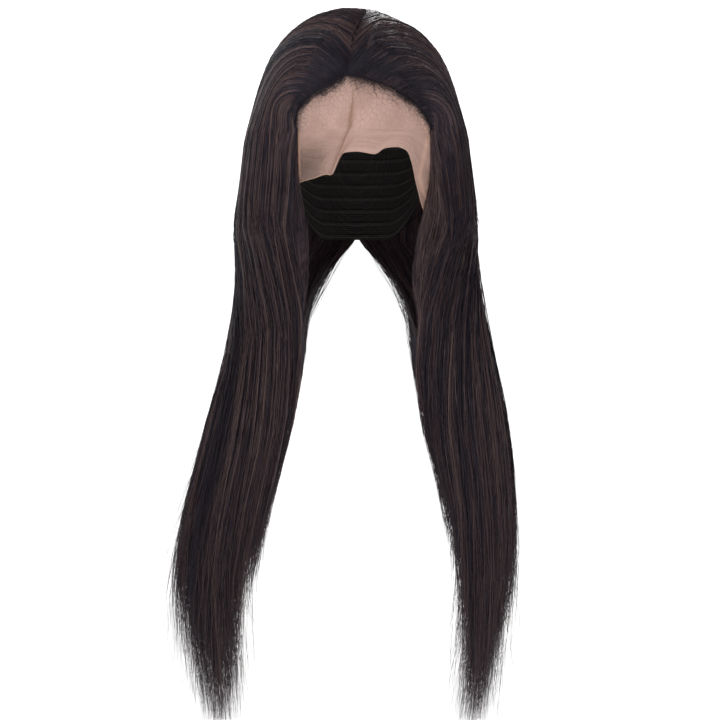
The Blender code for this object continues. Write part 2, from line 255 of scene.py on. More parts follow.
SIDES = {
    Side.LEFT: SideRow(0.0134, 0.004, 0.18, 0.158, 1.0, 60, (-0.012, -0.004)),
    Side.RIGHT: SideRow(0.0088, 0.011, 0.32, 0.143, 0.45, 320, (-0.006, 0.027)),
}
HAIRLINE = {
    Side.LEFT: (
        HairlineRow(0.00, 42.5, 0.05),
        HairlineRow(0.25, 41.0, 0.175),
        HairlineRow(0.50, 35.0, 0.275),
        HairlineRow(0.75, 21.0, 0.375),
    ),
    Side.RIGHT: (
        HairlineRow(0.00, 56.5, 0.03),
        HairlineRow(0.25, 50.5, 0.13),
        HairlineRow(0.50, 41.0, 0.240),
        HairlineRow(0.75, 24.0, 0.355),
    ),
}
SWEEP = {
    Side.LEFT: (
        SweepRow(0.00, 0.00, 0.30),
        SweepRow(0.15, 0.55, 0.20),
        SweepRow(0.30, 1.00, 0.26),
        SweepRow(0.38, 0.90, 0.58),
        SweepRow(0.48, 0.78, 0.92),
        SweepRow(0.60, 0.60, 1.00),
        SweepRow(0.75, 0.35, 1.00),
        SweepRow(1.00, 0.00, 1.00),
    ),
    Side.RIGHT: (
        SweepRow(0.00, 0.00, 0.30),
        SweepRow(0.15, 0.55, 0.17),
        SweepRow(0.30, 1.00, 0.16),
        SweepRow(0.38, 0.90, 0.34),
        SweepRow(0.48, 0.78, 0.70),
        SweepRow(0.60, 0.60, 0.98),
        SweepRow(0.75, 0.35, 1.00),
        SweepRow(1.00, 0.00, 1.00),
    ),
}
RINGS = {
    Side.LEFT: (
        RingRow(0.09, 0.156, 0.010, 0.531, 0.455, 17, 172, 0.360, 0.320),
        RingRow(0.17, 0.306, -0.071, 0.375, 0.384, -3, 184, 0.235, 0.262),
        RingRow(0.25, 0.412, -0.192, 0.306, 0.288, -24, 205, 0.140, 0.150),
        RingRow(0.34, 0.531, -0.308, 0.262, 0.207, -56, 235, 0.075, 0.050),
        RingRow(0.42, 0.594, -0.374, 0.250, 0.167, -72, 252, 0.070, 0.014),
        RingRow(0.50, 0.653, -0.409, 0.243, 0.142, -80, 260, 0.068, 0.009),
        RingRow(0.58, 0.706, -0.424, 0.238, 0.128, -83, 263, 0.062, 0.008),
        RingRow(0.67, 0.751, -0.424, 0.226, 0.114, -84, 264, 0.056, 0.007),
        RingRow(0.75, 0.768, -0.419, 0.196, 0.096, -84, 264, 0.046, 0.006),
        RingRow(0.83, 0.766, -0.414, 0.158, 0.076, -84, 264, 0.036, 0.0055),
        RingRow(0.92, 0.756, -0.409, 0.106, 0.054, -84, 264, 0.024, 0.005),
        RingRow(1.00, 0.746, -0.404, 0.062, 0.036, -84, 264, 0.014, 0.004),
    ),
    Side.RIGHT: (
        RingRow(0.09, 0.156, 0.010, 0.531, 0.455, 23, 172, 0.360, 0.320),
        RingRow(0.17, 0.319, -0.071, 0.394, 0.384, 3, 184, 0.240, 0.262),
        RingRow(0.25, 0.428, -0.192, 0.322, 0.288, -20, 205, 0.140, 0.150),
        RingRow(0.34, 0.540, -0.308, 0.262, 0.207, -55, 235, 0.075, 0.050),
        RingRow(0.42, 0.588, -0.374, 0.244, 0.167, -72, 252, 0.070, 0.014),
        RingRow(0.50, 0.638, -0.409, 0.216, 0.142, -80, 260, 0.068, 0.009),
        RingRow(0.58, 0.660, -0.424, 0.197, 0.128, -83, 263, 0.062, 0.008),
        RingRow(0.67, 0.669, -0.424, 0.180, 0.114, -84, 264, 0.056, 0.007),
        RingRow(0.75, 0.666, -0.419, 0.154, 0.096, -84, 264, 0.046, 0.006),
        RingRow(0.83, 0.649, -0.414, 0.124, 0.076, -84, 264, 0.036, 0.0055),
        RingRow(0.92, 0.622, -0.409, 0.090, 0.054, -84, 264, 0.024, 0.005),
        RingRow(1.00, 0.594, -0.404, 0.058, 0.036, -84, 264, 0.014, 0.004),
    ),
}
LEVEL_STARTS = {Side.LEFT: (40.0, 41.0, 38.0), Side.RIGHT: (54.0, 57.0, 51.0)}
LOCKS = {
    Side.LEFT: (
        LockRow(0.71, -0.08),
        LockRow(0.95, -0.02),
        LockRow(1.00, 0.00),
        LockRow(0.98, 0.00),
        LockRow(0.85, 0.05),
        LockRow(0.77, 0.07),
        LockRow(0.86, 0.02),
        LockRow(0.94, 0.00),
        LockRow(0.88, -0.01),
        LockRow(0.70, -0.02),
    ),
    Side.RIGHT: (
        LockRow(0.62, -0.01),
        LockRow(0.97, 0.04),
        LockRow(1.00, 0.02),
        LockRow(0.96, 0.00),
        LockRow(0.82, 0.02),
        LockRow(0.75, 0.03),
        LockRow(0.84, 0.01),
        LockRow(0.92, 0.02),
        LockRow(0.84, 0.04),
        LockRow(0.62, 0.02),
    ),
}


@dataclass(frozen=True)
class HairSheet:
    """One half of the hair, laid out by three shares as its solids are.

    across runs from the temple (0) to the back (1), along from the root (0) by the widest level
    (1) and the nape (2) to the longest ends (3), and depth from the outside (0) to the cap (1).
    """

    side: Side
    drop: float = 0.612
    spread: float = 0.160
    shoulder_lift: float = 0.0093
    shoulder_scale: float = 6.75
    side_lift: float = 0.0200
    nape_flare: float = 0.009
    edge_lift: float = 0.0065
    edge_share: float = 0.12
    arch_reach: float = 0.024
    parting_lift: float = 0.0126
    parting_reach: float = 0.35
    seat: float = 0.0009
    parting_shift: float = 0.008
    parting_gap: float = 0.0012
    parting_pitch: float = 28.5
    whorl_shift: float = 0.007
    whorl_pitch: float = 115.0
    hairline_share: float = 0.3
    back_end: float = 180.6
    lift_up: Spot = (0.0, 0.22, 0.42)

    @property
    def sign(self) -> int:
        """The sign of X on this side."""
        return self.side.value

    @property
    def seat_offset(self) -> float:
        """How far outside the head the hair starts."""
        return max(HEAD.cap_wall, HEAD.lace_wall) + self.seat

    def root_direction(self, across: Points) -> Points:
        """Where on the dome a strand is rooted.

        Args:
            across: The strands' shares from the temple to the back.

        Returns:
            A direction from the dome's centre for each strand.
        """
        sign = self.sign
        half_width = HEAD.width / 2
        shift = (sign * self.parting_gap / 2 - self.parting_shift) / half_width
        ahead = math.cos(math.radians(self.parting_pitch))
        end = HairlineRow(
            1.0,
            sign * math.degrees(math.atan2(shift, ahead)),
            math.sin(math.radians(self.parting_pitch)),
        )
        rows = HAIRLINE[self.side] + (end,)
        share = across / self.hairline_share
        places = [row.share for row in rows]
        turn = np.radians(Curve(places, [row.turn_deg for row in rows])(share))
        height = Curve(places, [row.height for row in rows])(share)
        level = np.sqrt(1 - height * height)
        line = np.stack([sign * np.sin(turn) * level, -np.cos(turn) * level, height], axis=-1)
        share = np.clip((across - self.hairline_share) / (1 - self.hairline_share), 0.0, 1.0)
        pitch = np.radians(self.parting_pitch + (self.whorl_pitch - self.parting_pitch) * share)
        whorl = (sign * self.parting_gap / 2 + self.whorl_shift) / half_width
        side_way = whorl + (shift - whorl) * (1 - ease(share * 2))
        parting = unit(np.stack([side_way, -np.cos(pitch), np.sin(pitch)], axis=-1))
        return np.where((across < self.hairline_share)[..., None], line, parting)

    def level_direction(self, across: Points, start: Points, end: Points) -> Points:
        """The direction from a ring's centre to a strand, between two angles in degrees."""
        turn = np.radians(start + (end - start) * across)
        return np.stack([self.sign * np.sin(turn), -np.cos(turn), np.zeros_like(turn)], axis=-1)

    def fullness(self, across: Points, along: Points) -> Points:
        """The share of the full thickness: thin at the roots and at the front edge.

        Args:
            across: Shares from the temple to the back.
            along: Shares from the root to the ends.

        Returns:
            A share for each place.
        """
        root_way = self.root_direction(across)
        level_way = self.level_direction(across, LEVEL_STARTS[self.side][0], self.back_end)
        bend = np.arccos(np.clip((root_way * level_way).sum(axis=-1), -1, 1))
        path = bend * HEAD.crown * np.clip(along, 0, 1)
        path = path + (HEAD.nape - HEAD.crown) * np.clip(along - 1, 0, None)
        rows = SWEEP[self.side]
        root = Curve([row.across for row in rows], [row.root_lift for row in rows])(across)
        arch = ease((path - SIDES[self.side].arch_start) / self.arch_reach)
        rise = root + (1 - root) * arch
        edge = ease(1 - across / self.edge_share) * ease(2.4 - along)
        return rise * (1 - edge * (1 - self.edge_lift / self.side_lift))

    def lift(self, rise: Points, along: Points) -> Points:
        """The full thickness of the hair.

        Args:
            rise: How far up a direction from the dome's centre points, from 0 to 1.
            along: How far it lies from the parting.

        Returns:
            The thickness, which is the same on both sides of the parting.
        """
        beside = ease(along / self.parting_reach)
        crown = self.parting_lift + (SIDES[self.side].crown_lift - self.parting_lift) * beside
        return (
            crown * rise * rise
            + self.shoulder_lift * self.shoulder_scale * rise * rise * (1 - rise)
            + self.side_lift * (1 - rise) * (1 - rise)
        )

    def line(self, across: Points, along: Points) -> Points:
        """Directions from the dome's centre to the strands above the widest level.

        Args:
            across: Shares from the temple to the back.
            along: Shares from the root to the ends.

        Returns:
            A direction for each place.
        """
        root = self.root_direction(across)
        level = self.level_direction(across, LEVEL_STARTS[self.side][0], self.back_end)
        rows = SWEEP[self.side]
        sweep = Curve([row.across for row in rows], [row.sweep for row in rows])(across)
        middle = unit((root + level) / 2 + sweep[..., None] * np.array(self.lift_up))
        t = along[..., None]
        return unit((1 - t) ** 2 * root + 2 * t * (1 - t) * middle + t * t * level)

    def dome(self, across: Points, along: Points, depth: Points) -> Points:
        """Points of the sheet above the widest level.

        Args:
            across: Shares from the temple to the back.
            along: Shares from the root to the ends.
            depth: Shares from the outside to the cap.

        Returns:
            A point for each place.
        """
        line = self.line(across, along)
        lift = self.lift(np.abs(line[..., 2]), along)
        thick = np.maximum(lift * self.fullness(across, along), self.edge_lift / 3)
        return HEAD.over(line, self.seat_offset + thick * (1 - depth))

    def rings(self) -> dict[str, Curve]:
        """Curves of the level sections from the widest level of the head to the ends.

        Returns:
            A curve along the hair for each measure, by its name.
        """
        inner = HEAD.half(self.seat_offset)
        rows = []
        for number, start in enumerate(LEVEL_STARTS[self.side]):
            share = number / (len(LEVEL_STARTS[self.side]) - 1)
            drop = HEAD.crown + (HEAD.nape - HEAD.crown) * share
            flare = self.nape_flare * float(ease(np.array(share)))
            tuck = float(HEAD.tuck(np.array(drop)))
            rows.append((
                1 + share, drop, 0.0, 0.0, inner[0] + self.side_lift + flare,
                inner[1] + self.side_lift - flare * share, start, self.back_end - 2 * share,
                inner[0] * tuck, inner[1] * tuck,
            ))
        for row in RINGS[self.side]:
            rows.append((
                2 + row.free, HEAD.nape + (self.drop - HEAD.nape) * row.free,
                row.out * self.spread, row.back * HEAD.length,
                row.width * self.spread, row.depth * HEAD.length, row.start_deg, row.end_deg,
                row.bore_width * self.spread, row.bore_depth * HEAD.length,
            ))
        names = ("drop", "out", "back", "width", "depth", "start", "end", "bore_w", "bore_d")
        places = [row[0] for row in rows]
        return {name: Curve(places, [row[k + 1] for row in rows]) for k, name in enumerate(names)}

    def hanging(self, across: Points, along: Points, depth: Points) -> Points:
        """Points of the sheet below the widest level.

        Args:
            across: Shares from the temple to the back.
            along: Shares from the root to the ends.
            depth: Shares from the outside to the cap.

        Returns:
            A point for each place.
        """
        at = {name: curve(along) for name, curve in self.rings().items()}
        way = self.level_direction(across, at["start"], at["end"])
        share = self.fullness(across, along) * (1 - depth)
        width = at["bore_w"] + (at["width"] - at["bore_w"]) * share
        deep = at["bore_d"] + (at["depth"] - at["bore_d"]) * share
        return np.stack([
            self.sign * at["out"] + width * way[..., 0],
            at["back"] + deep * way[..., 1],
            -at["drop"],
        ], axis=-1)

    def point(self, across: Points, along: Points, depth: Points) -> Points:
        """Points of the sheet.

        Args:
            across: Shares from the temple to the back.
            along: Shares from the root to the ends.
            depth: Shares from the outside to the cap.

        Returns:
            A point for each place.
        """
        across = np.clip(across, 0.0, 1.0)
        above = self.dome(across, np.minimum(along, 1.0), depth)
        below = self.hanging(across, np.maximum(along, 1.0), depth)
        return np.where((along < 1)[..., None], above, below)


# Shader maths


@dataclass
class Shade:
    """A socket of a material, on which Python's operators add Math nodes."""

    tree: bpy.types.NodeTree
    socket: Any

    def _math(self, operation: str, *values: Any) -> Shade:
        """A Math node on these values.

        Args:
            operation: The node's operation.
            *values: Shades or numbers.

        Returns:
            Its result.
        """
        node = self.tree.nodes.new("ShaderNodeMath")
        node.operation = operation
        for place, value in enumerate(values):
            plug(self.tree, node.inputs[place], value)
        return Shade(self.tree, node.outputs[0])

    def __add__(self, other: Any) -> Shade:
        """Sum."""
        return self._math("ADD", self, other)

    def __radd__(self, other: Any) -> Shade:
        """Sum with a number on the left."""
        return self._math("ADD", other, self)

    def __sub__(self, other: Any) -> Shade:
        """Difference."""
        return self._math("SUBTRACT", self, other)

    def __rsub__(self, other: Any) -> Shade:
        """Difference from a number on the left."""
        return self._math("SUBTRACT", other, self)

    def __mul__(self, other: Any) -> Shade:
        """Product."""
        return self._math("MULTIPLY", self, other)

    def __rmul__(self, other: Any) -> Shade:
        """Product with a number on the left."""
        return self._math("MULTIPLY", other, self)

    def least(self, other: Any) -> Shade:
        """The smaller of the two."""
        return self._math("MINIMUM", self, other)

    def sine(self) -> Shade:
        """Sine."""
        return self._math("SINE", self)

    def within(self, low: float, high: float) -> Shade:
        """The value's place between two limits, from 0 to 1 and eased at both.

        Args:
            low: The value that gives 0.
            high: The value that gives 1.

        Returns:
            The place.
        """
        node = self.tree.nodes.new("ShaderNodeMapRange")
        node.interpolation_type = "SMOOTHSTEP"
        plug(self.tree, node.inputs["Value"], self)
        node.inputs["From Min"].default_value = low
        node.inputs["From Max"].default_value = high
        return Shade(self.tree, node.outputs["Result"])


def plug(tree: bpy.types.NodeTree, socket: Any, value: Any) -> None:
    """Links a shade to a socket, or sets a number or colour on it.

    Args:
        tree: The node tree.
        socket: The socket to fill.
        value: A Shade, a number or a tuple.
    """
    if isinstance(value, Shade):
        tree.links.new(value.socket, socket)
    else:
        socket.default_value = value


@dataclass
class Paint:
    """A material that is being put together around its Principled shader."""

    name: str

    def __post_init__(self) -> None:
        """Starts the material."""
        self.material = bpy.data.materials.new(self.name)
        self.material.use_nodes = True
        self.tree = self.material.node_tree
        self.shader = self.tree.nodes["Principled BSDF"]

    def node(self, kind: str, output: str | int = 0, settings: dict[str, Any] | None = None,
             **values: Any) -> Shade:
        """Any node.

        Args:
            kind: The node's type.
            output: The output that is wanted.
            settings: Properties to set first.
            **values: What goes into the sockets, by name with _ for a space.

        Returns:
            The output as a Shade.
        """
        made = self.tree.nodes.new(kind)
        for key, value in (settings or {}).items():
            setattr(made, key, value)
        for key, value in values.items():
            plug(self.tree, made.inputs[key.replace("_", " ")], value)
        return Shade(self.tree, made.outputs[output])

    def attribute(self, name: str) -> Shade:
        """A number that the mesh carries."""
        return self.node("ShaderNodeAttribute", "Fac", {"attribute_name": name})

    def uv(self) -> Shade:
        """The piece's own map, in metres."""
        return self.node("ShaderNodeUVMap", settings={"uv_map": "UVMap"})

    def streaks(self, width: float, length: float, detail: float, roughness: float) -> Shade:
        """Noise drawn out along the hair.

        Args:
            width: The width of a streak.
            length: Its length.
            detail: How many finer layers it has.
            roughness: How strong they are.

        Returns:
            The noise.
        """
        place = self.node("ShaderNodeMapping", settings={"vector_type": "TEXTURE"},
                          Vector=self.uv(), Scale=(width, length, 1.0))
        return self.node("ShaderNodeTexNoise", "Fac", Vector=place, Scale=1.0, Detail=detail,
                         Roughness=roughness)

    def cloud(self, scale: float, detail: float) -> Shade:
        """Noise over the piece's own map."""
        return self.node("ShaderNodeTexNoise", "Fac", {"noise_dimensions": "2D"},
                         Vector=self.uv(), Scale=scale, Detail=detail)

    def mesh(self, place: Shade, cell: float, uneven: float, flat: bool = True) -> Shade:
        """The distance to the threads of a net.

        Args:
            place: Where to read it.
            cell: The size of one opening.
            uneven: How far the net is from even, from 0 to 1.
            flat: Whether the net lies in a map and not in space.

        Returns:
            The distance.
        """
        settings = {"feature": "DISTANCE_TO_EDGE", "voronoi_dimensions": "2D" if flat else "3D"}
        return self.node("ShaderNodeTexVoronoi", "Distance", settings, Vector=place,
                         Scale=1 / cell, Randomness=uneven)

    def bump(self, height: Shade, strength: float, distance: float) -> Shade:
        """A normal that follows a height."""
        return self.node("ShaderNodeBump", Height=height, Strength=strength, Distance=distance)

    def mix(self, share: Any, first: Any, second: Any) -> Shade:
        """Two colours mixed by a share.

        Args:
            share: How much of the second, as a shade or a number.
            first: The first colour.
            second: The second colour.

        Returns:
            The mixed colour.
        """
        made = self.tree.nodes.new("ShaderNodeMix")
        made.data_type = "RGBA"
        sockets = [made.inputs[k] for k in (0, 6, 7)]
        for socket, value in zip(sockets, (share, first, second)):
            plug(self.tree, socket, value)
        return Shade(self.tree, made.outputs[2])

    def finish(self, **values: Any) -> bpy.types.Material:
        """Fills the Principled shader.

        Args:
            **values: Its sockets by name, with _ for a space.

        Returns:
            The material.
        """
        for key, value in values.items():
            plug(self.tree, self.shader.inputs[key.replace("_", " ")], value)
        return self.material


@dataclass(frozen=True)
class HairFinish:
    """Straight near-black hair with brown strands in it and a satin shine."""

    cool: Colour = (0.0090, 0.0058, 0.0130, 1.0)
    warm: Colour = (0.067, 0.0385, 0.0400, 1.0)
    pale: Colour = (0.125, 0.082, 0.076, 1.0)
    roughness: float = 0.43
    gloss: float = 0.29
    warm_tints: tuple[float, float] = (0.38, 0.74)
    pale_tints: tuple[float, float] = (0.80, 1.0)
    warm_streaks: tuple[float, float] = (0.42, 0.60)
    streak: tuple[float, float] = (0.0007, 0.09)
    band: tuple[float, float] = (0.006, 0.3)
    streak_height: float = 0.0016

    def strand_material(self) -> bpy.types.Material:
        """The finish of single strands, coloured by the tint that each carries.

        Returns:
            The material.
        """
        paint = Paint("hair_strands")
        tint = paint.attribute("tint")
        base = paint.mix(tint.within(*self.warm_tints), self.cool, self.warm)
        base = paint.mix(tint.within(*self.pale_tints) * 0.9, base, self.pale)
        return paint.finish(
            Base_Color=base,
            Roughness=self.roughness + 0.10 - tint * 0.12,
            Specular_IOR_Level=self.gloss,
        )

    def body_material(self) -> bpy.types.Material:
        """The finish of the mass under the strands, with fine streaks along it.

        Returns:
            The material.
        """
        paint = Paint("hair_body")
        streak = paint.streaks(*self.streak, detail=3.0, roughness=0.6)
        band = paint.streaks(*self.band, detail=2.0, roughness=0.5)
        share = (streak * 0.75 + band * 0.25).within(*self.warm_streaks)
        return paint.finish(
            Base_Color=paint.mix(share, self.cool, self.warm),
            Roughness=self.roughness + 0.22 + streak * 0.2,
            Specular_IOR_Level=self.gloss,
            Normal=paint.bump(streak, 1.0, self.streak_height),
        )


@dataclass(frozen=True)
class LaceFinish:
    """Sheer tan lace with a fine net, and dark knots by the hairline, with painted shade along the
    hairline, in the crease and at the lower sides.
    """

    thread: Colour = (0.59, 0.385, 0.325, 1.0)
    ground: Colour = (0.47, 0.295, 0.240, 1.0)
    turned: Colour = (0.56, 0.34, 0.23, 1.0)
    # The crease colour is painted shade in the crease of the lace.
    crease: Colour = (0.20, 0.105, 0.060, 1.0)
    # The dark of the knots, also used for the painted shade along the hairline.
    knot: Colour = (0.020, 0.014, 0.012, 1.0)
    cell: float = 0.0007
    web: float = 0.0042
    cloud_scale: float = 45.0
    patch_scale: float = 260.0
    knot_scale: float = 780.0
    thread_height: float = 0.0002
    sheer: float = 0.60
    roughness: float = 0.7

    def knots_and_shade(self, paint: Paint, cloud: Shade) -> Shade:
        """How dark the lace is from the hair that is knotted into it and from painted shade along
        the hairline.

        Args:
            paint: The material.
            cloud: The lace's slow unevenness.

        Returns:
            A share from 0 to 1.
        """
        speck = paint.node("ShaderNodeTexVoronoi", "Distance", {"voronoi_dimensions": "2D"},
                           Vector=paint.uv(), Scale=self.knot_scale)
        patch = paint.cloud(self.patch_scale, 2.0)
        web = paint.mesh(paint.uv(), self.web, 0.9)
        near = paint.attribute("hairline") + (cloud - 0.5) * 0.5 + (patch - 0.5) * 0.5
        dot = (1 - speck.within(0.22, 0.42)) * near.within(0.10, 0.80)
        # soft is a dark band along the hairline: partly the dense knotted hair and partly painted
        # shade under the hair that lifts from it.
        soft = near.within(0.45, 1.25) * 0.95
        strand = (1 - web.within(0.02, 0.14)) * near.within(-0.30, 0.30) * 0.45
        return 1 - (1 - dot * 0.8) * (1 - soft) * (1 - strand)

    def material(self) -> bpy.types.Material:
        """The finish of the lace.

        Returns:
            The material.
        """
        paint = Paint("lace")
        thread = 1 - paint.mesh(paint.uv(), self.cell, 0.25).within(0.08, 0.22)
        cloud = paint.cloud(self.cloud_scale, 4.0)
        dark = self.knots_and_shade(paint, cloud)
        fold = paint.attribute("fold")
        crease = paint.attribute("crease")
        # low is painted shade: the lower lace at the sides is made more see-through, so the dark
        # inside shows and it looks darker.
        low = paint.attribute("low")
        colour = paint.mix(cloud.within(0.25, 0.75), self.ground, self.thread)
        colour = paint.mix(fold, colour, self.turned)
        # Painted shade: a dark line along the crease, which is also more opaque as doubled lace.
        colour = paint.mix(crease * 0.8, colour, self.crease)
        colour = paint.mix(dark, colour, self.knot)
        alpha = self.sheer - low * 0.53 + thread * 0.22 + fold * 0.5 + crease * 0.35 + dark * 0.4
        return paint.finish(
            Base_Color=colour,
            Roughness=self.roughness,
            Alpha=alpha.least(1.0),
            Normal=paint.bump(thread, 0.3, self.thread_height),
        )


@dataclass(frozen=True)
class NetFinish:
    """Black stretch net with rows of sewn hair."""

    dark: Colour = (0.010, 0.008, 0.008, 1.0)
    light: Colour = (0.040, 0.032, 0.030, 1.0)
    row_gap: float = 0.014
    cell: float = 1 / 520
    row_height: float = 0.001
    roughness: float = 0.7

    def material(self) -> bpy.types.Material:
        """The finish of the cap.

        Returns:
            The material.
        """
        paint = Paint("cap_net")
        place = paint.node("ShaderNodeTexCoord", "Object")
        thread = 1 - paint.mesh(place, self.cell, 0.1, flat=False).within(0.05, 0.2)
        down = paint.node("ShaderNodeSeparateXYZ", "Y", Vector=paint.uv())
        row = (down * (2 * math.pi / self.row_gap)).sine().within(0.45, 0.9)
        share = (thread * 0.7 + row * 0.5).within(0.0, 1.3)
        return paint.finish(
            Base_Color=paint.mix(share, self.dark, self.light),
            Roughness=self.roughness,
            Normal=paint.bump(thread * 0.35 + row, 0.8, self.row_height),
        )


# Mesh helpers


Place = Callable[[Points, Points, int], Points]
Chart = Callable[[Points, Points], Points]


def closed_sheet(columns: int, rows: int, place: Place, chart: Chart) -> bmesh.types.BMesh:
    """A closed wall: a grid, extruded once and moved to its two faces.

    Args:
        columns: Faces across.
        rows: Faces along.
        place: Gives points for shares across and along, on face 0 (outer) or 1 (inner).
        chart: Gives the UVs in metres for the same shares.

    Returns:
        The bmesh.
    """
    bm = bmesh.new()
    bmesh.ops.create_grid(bm, x_segments=columns, y_segments=rows, size=0.5)
    share_u = bm.verts.layers.float.new("share_u")
    share_v = bm.verts.layers.float.new("share_v")
    for vertex in bm.verts:
        vertex[share_u] = min(1.0, max(0.0, vertex.co.x + 0.5))
        vertex[share_v] = min(1.0, max(0.0, vertex.co.y + 0.5))
    outer = list(bm.verts)
    made = bmesh.ops.extrude_face_region(bm, geom=[*bm.faces, *bm.edges])["geom"]
    inner = [item for item in made if isinstance(item, bmesh.types.BMVert)]
    spots: dict[bmesh.types.BMVert, Points] = {}
    for face, vertices in enumerate((outer, inner)):
        u = np.array([vertex[share_u] for vertex in vertices])
        v = np.array([vertex[share_v] for vertex in vertices])
        for vertex, point, spot in zip(vertices, place(u, v, face), chart(u, v)):
            vertex.co = point
            spots[vertex] = spot
    layer = bm.loops.layers.uv.new("UVMap")
    for quad in bm.faces:
        for loop in quad.loops:
            loop[layer].uv = spots[loop.vert]
    bmesh.ops.recalc_face_normals(bm, faces=bm.faces)
    return bm


def to_object(name: str, bm: bmesh.types.BMesh, material: bpy.types.Material,
              angle: float = 60.0) -> bpy.types.Object:
    """An object made of the bmesh.

    Args:
        name: The piece's name.
        bm: Its mesh, which is used up.
        material: Its finish.
        angle: The angle in degrees above which an edge is sharp.

    Returns:
        The object, linked to the scene.
    """
    mesh = bpy.data.meshes.new(name)
    bm.to_mesh(mesh)
    bm.free()
    mesh.shade_smooth()
    mesh.set_sharp_from_angle(angle=math.radians(angle))
    mesh.materials.append(material)
    made = bpy.data.objects.new(name, mesh)
    bpy.context.scene.collection.objects.link(made)
    return made


class Strands(NamedTuple):
    """Strands by stations: their points, their radii and their tints."""

    paths: Points
    radii: Points
    tints: Points


@dataclass
class StrandTubes:
    """Turns the paths of strands into one mesh of thin closed tubes with three sides."""

    sides: int = 3

    def node_group(self) -> bpy.types.NodeTree:
        """The tree that sweeps a small ring along each path.

        Returns:
            The tree.
        """
        tree = bpy.data.node_groups.new("strand_tubes", "GeometryNodeTree")
        tree.interface.new_socket("Geometry", in_out="INPUT", socket_type="NodeSocketGeometry")
        tree.interface.new_socket("Geometry", in_out="OUTPUT", socket_type="NodeSocketGeometry")
        start = tree.nodes.new("NodeGroupInput")
        end = tree.nodes.new("NodeGroupOutput")
        curve = tree.nodes.new("GeometryNodeMeshToCurve")
        ring = tree.nodes.new("GeometryNodeCurvePrimitiveCircle")
        ring.inputs["Resolution"].default_value = self.sides
        ring.inputs["Radius"].default_value = 1.0
        width = tree.nodes.new("GeometryNodeInputNamedAttribute")
        width.data_type = "FLOAT"
        width.inputs["Name"].default_value = "thick"
        sweep = tree.nodes.new("GeometryNodeCurveToMesh")
        sweep.inputs["Fill Caps"].default_value = True
        links = tree.links
        links.new(start.outputs[0], curve.inputs["Mesh"])
        links.new(curve.outputs[0], sweep.inputs["Curve"])
        links.new(ring.outputs["Curve"], sweep.inputs["Profile Curve"])
        links.new(width.outputs["Attribute"], sweep.inputs["Scale"])
        links.new(sweep.outputs[0], end.inputs[0])
        return tree

    def build(self, name: str, strands: Strands,
              material: bpy.types.Material) -> bpy.types.Object:
        """Makes the piece.

        Args:
            name: The piece's name.
            strands: Its strands.
            material: The finish.

        Returns:
            The object, linked to the scene.
        """
        count, stations = strands.radii.shape
        mesh = bpy.data.meshes.new(name)
        mesh.vertices.add(count * stations)
        mesh.vertices.foreach_set("co", strands.paths.reshape(-1).astype(np.float32))
        first = (np.arange(count)[:, None] * stations + np.arange(stations - 1)).reshape(-1)
        mesh.edges.add(len(first))
        ends = np.stack([first, first + 1], axis=-1).reshape(-1)
        mesh.edges.foreach_set("vertices", ends.astype(np.int32))
        carry(mesh, "thick", strands.radii.reshape(-1))
        carry(mesh, "tint", strands.tints.reshape(-1))
        made = bpy.data.objects.new(name, mesh)
        bpy.context.scene.collection.objects.link(made)
        modifier = made.modifiers.new("tubes", "NODES")
        modifier.node_group = self.node_group()
        graph = bpy.context.evaluated_depsgraph_get()
        swept = bpy.data.meshes.new_from_object(made.evaluated_get(graph))
        made.modifiers.clear()
        made.data = swept
        swept.name = name
        swept.shade_smooth()
        swept.materials.clear()
        swept.materials.append(material)
        return made


def carry(mesh: bpy.types.Mesh, name: str, values: Points) -> None:
    """Stores a number on each point of a mesh."""
    layer = mesh.attributes.new(name, "FLOAT", "POINT")
    layer.data.foreach_set("value", values.astype(np.float32))


def enter(piece: bpy.types.Object, slot: str, *nodes: str) -> None:
    """Fixes a piece to the frame.

    Args:
        piece: The piece.
        slot: Not used.
        *nodes: The solids that it stands for.
    """
    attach(piece, "root")
    if nodes:
        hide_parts(*nodes)


def flat_area(piece: bpy.types.Object) -> float:
    """Half the surface of a thin closed wall, which is the area of its cloth."""
    return sum(face.area for face in piece.data.polygons) / 2


# The hair


@dataclass(frozen=True)
class Growth:
    """A family of strands of one half, with how they lie in the sheet.

    count strands of some stations each start between the two shares of start along the hair and
    settle between the two shares of depth, after a rise along it. They end up to shorter above
    their lock's end, or longer below it, or before last where that is set. reach is where they
    lie across, and edge_share is how many lie along the front edge. wander scales their waves,
    gather how far they draw together, fan how far their ends spread, and push, in metres, how
    far their ends stand out to the side.
    """

    name: str
    count: int
    stations: int
    start: tuple[float, float]
    depth: tuple[float, float]
    radius: float
    shorter: float
    rise: float = 0.09
    wander: float = 1.0
    fan: float = 1.0
    edge_share: float = 0.08
    last: float = 0.0
    push: float = 0.0
    reach: tuple[float, float] = (0.001, 0.999)
    gather: float = 1.0
    longer: float = 0.0


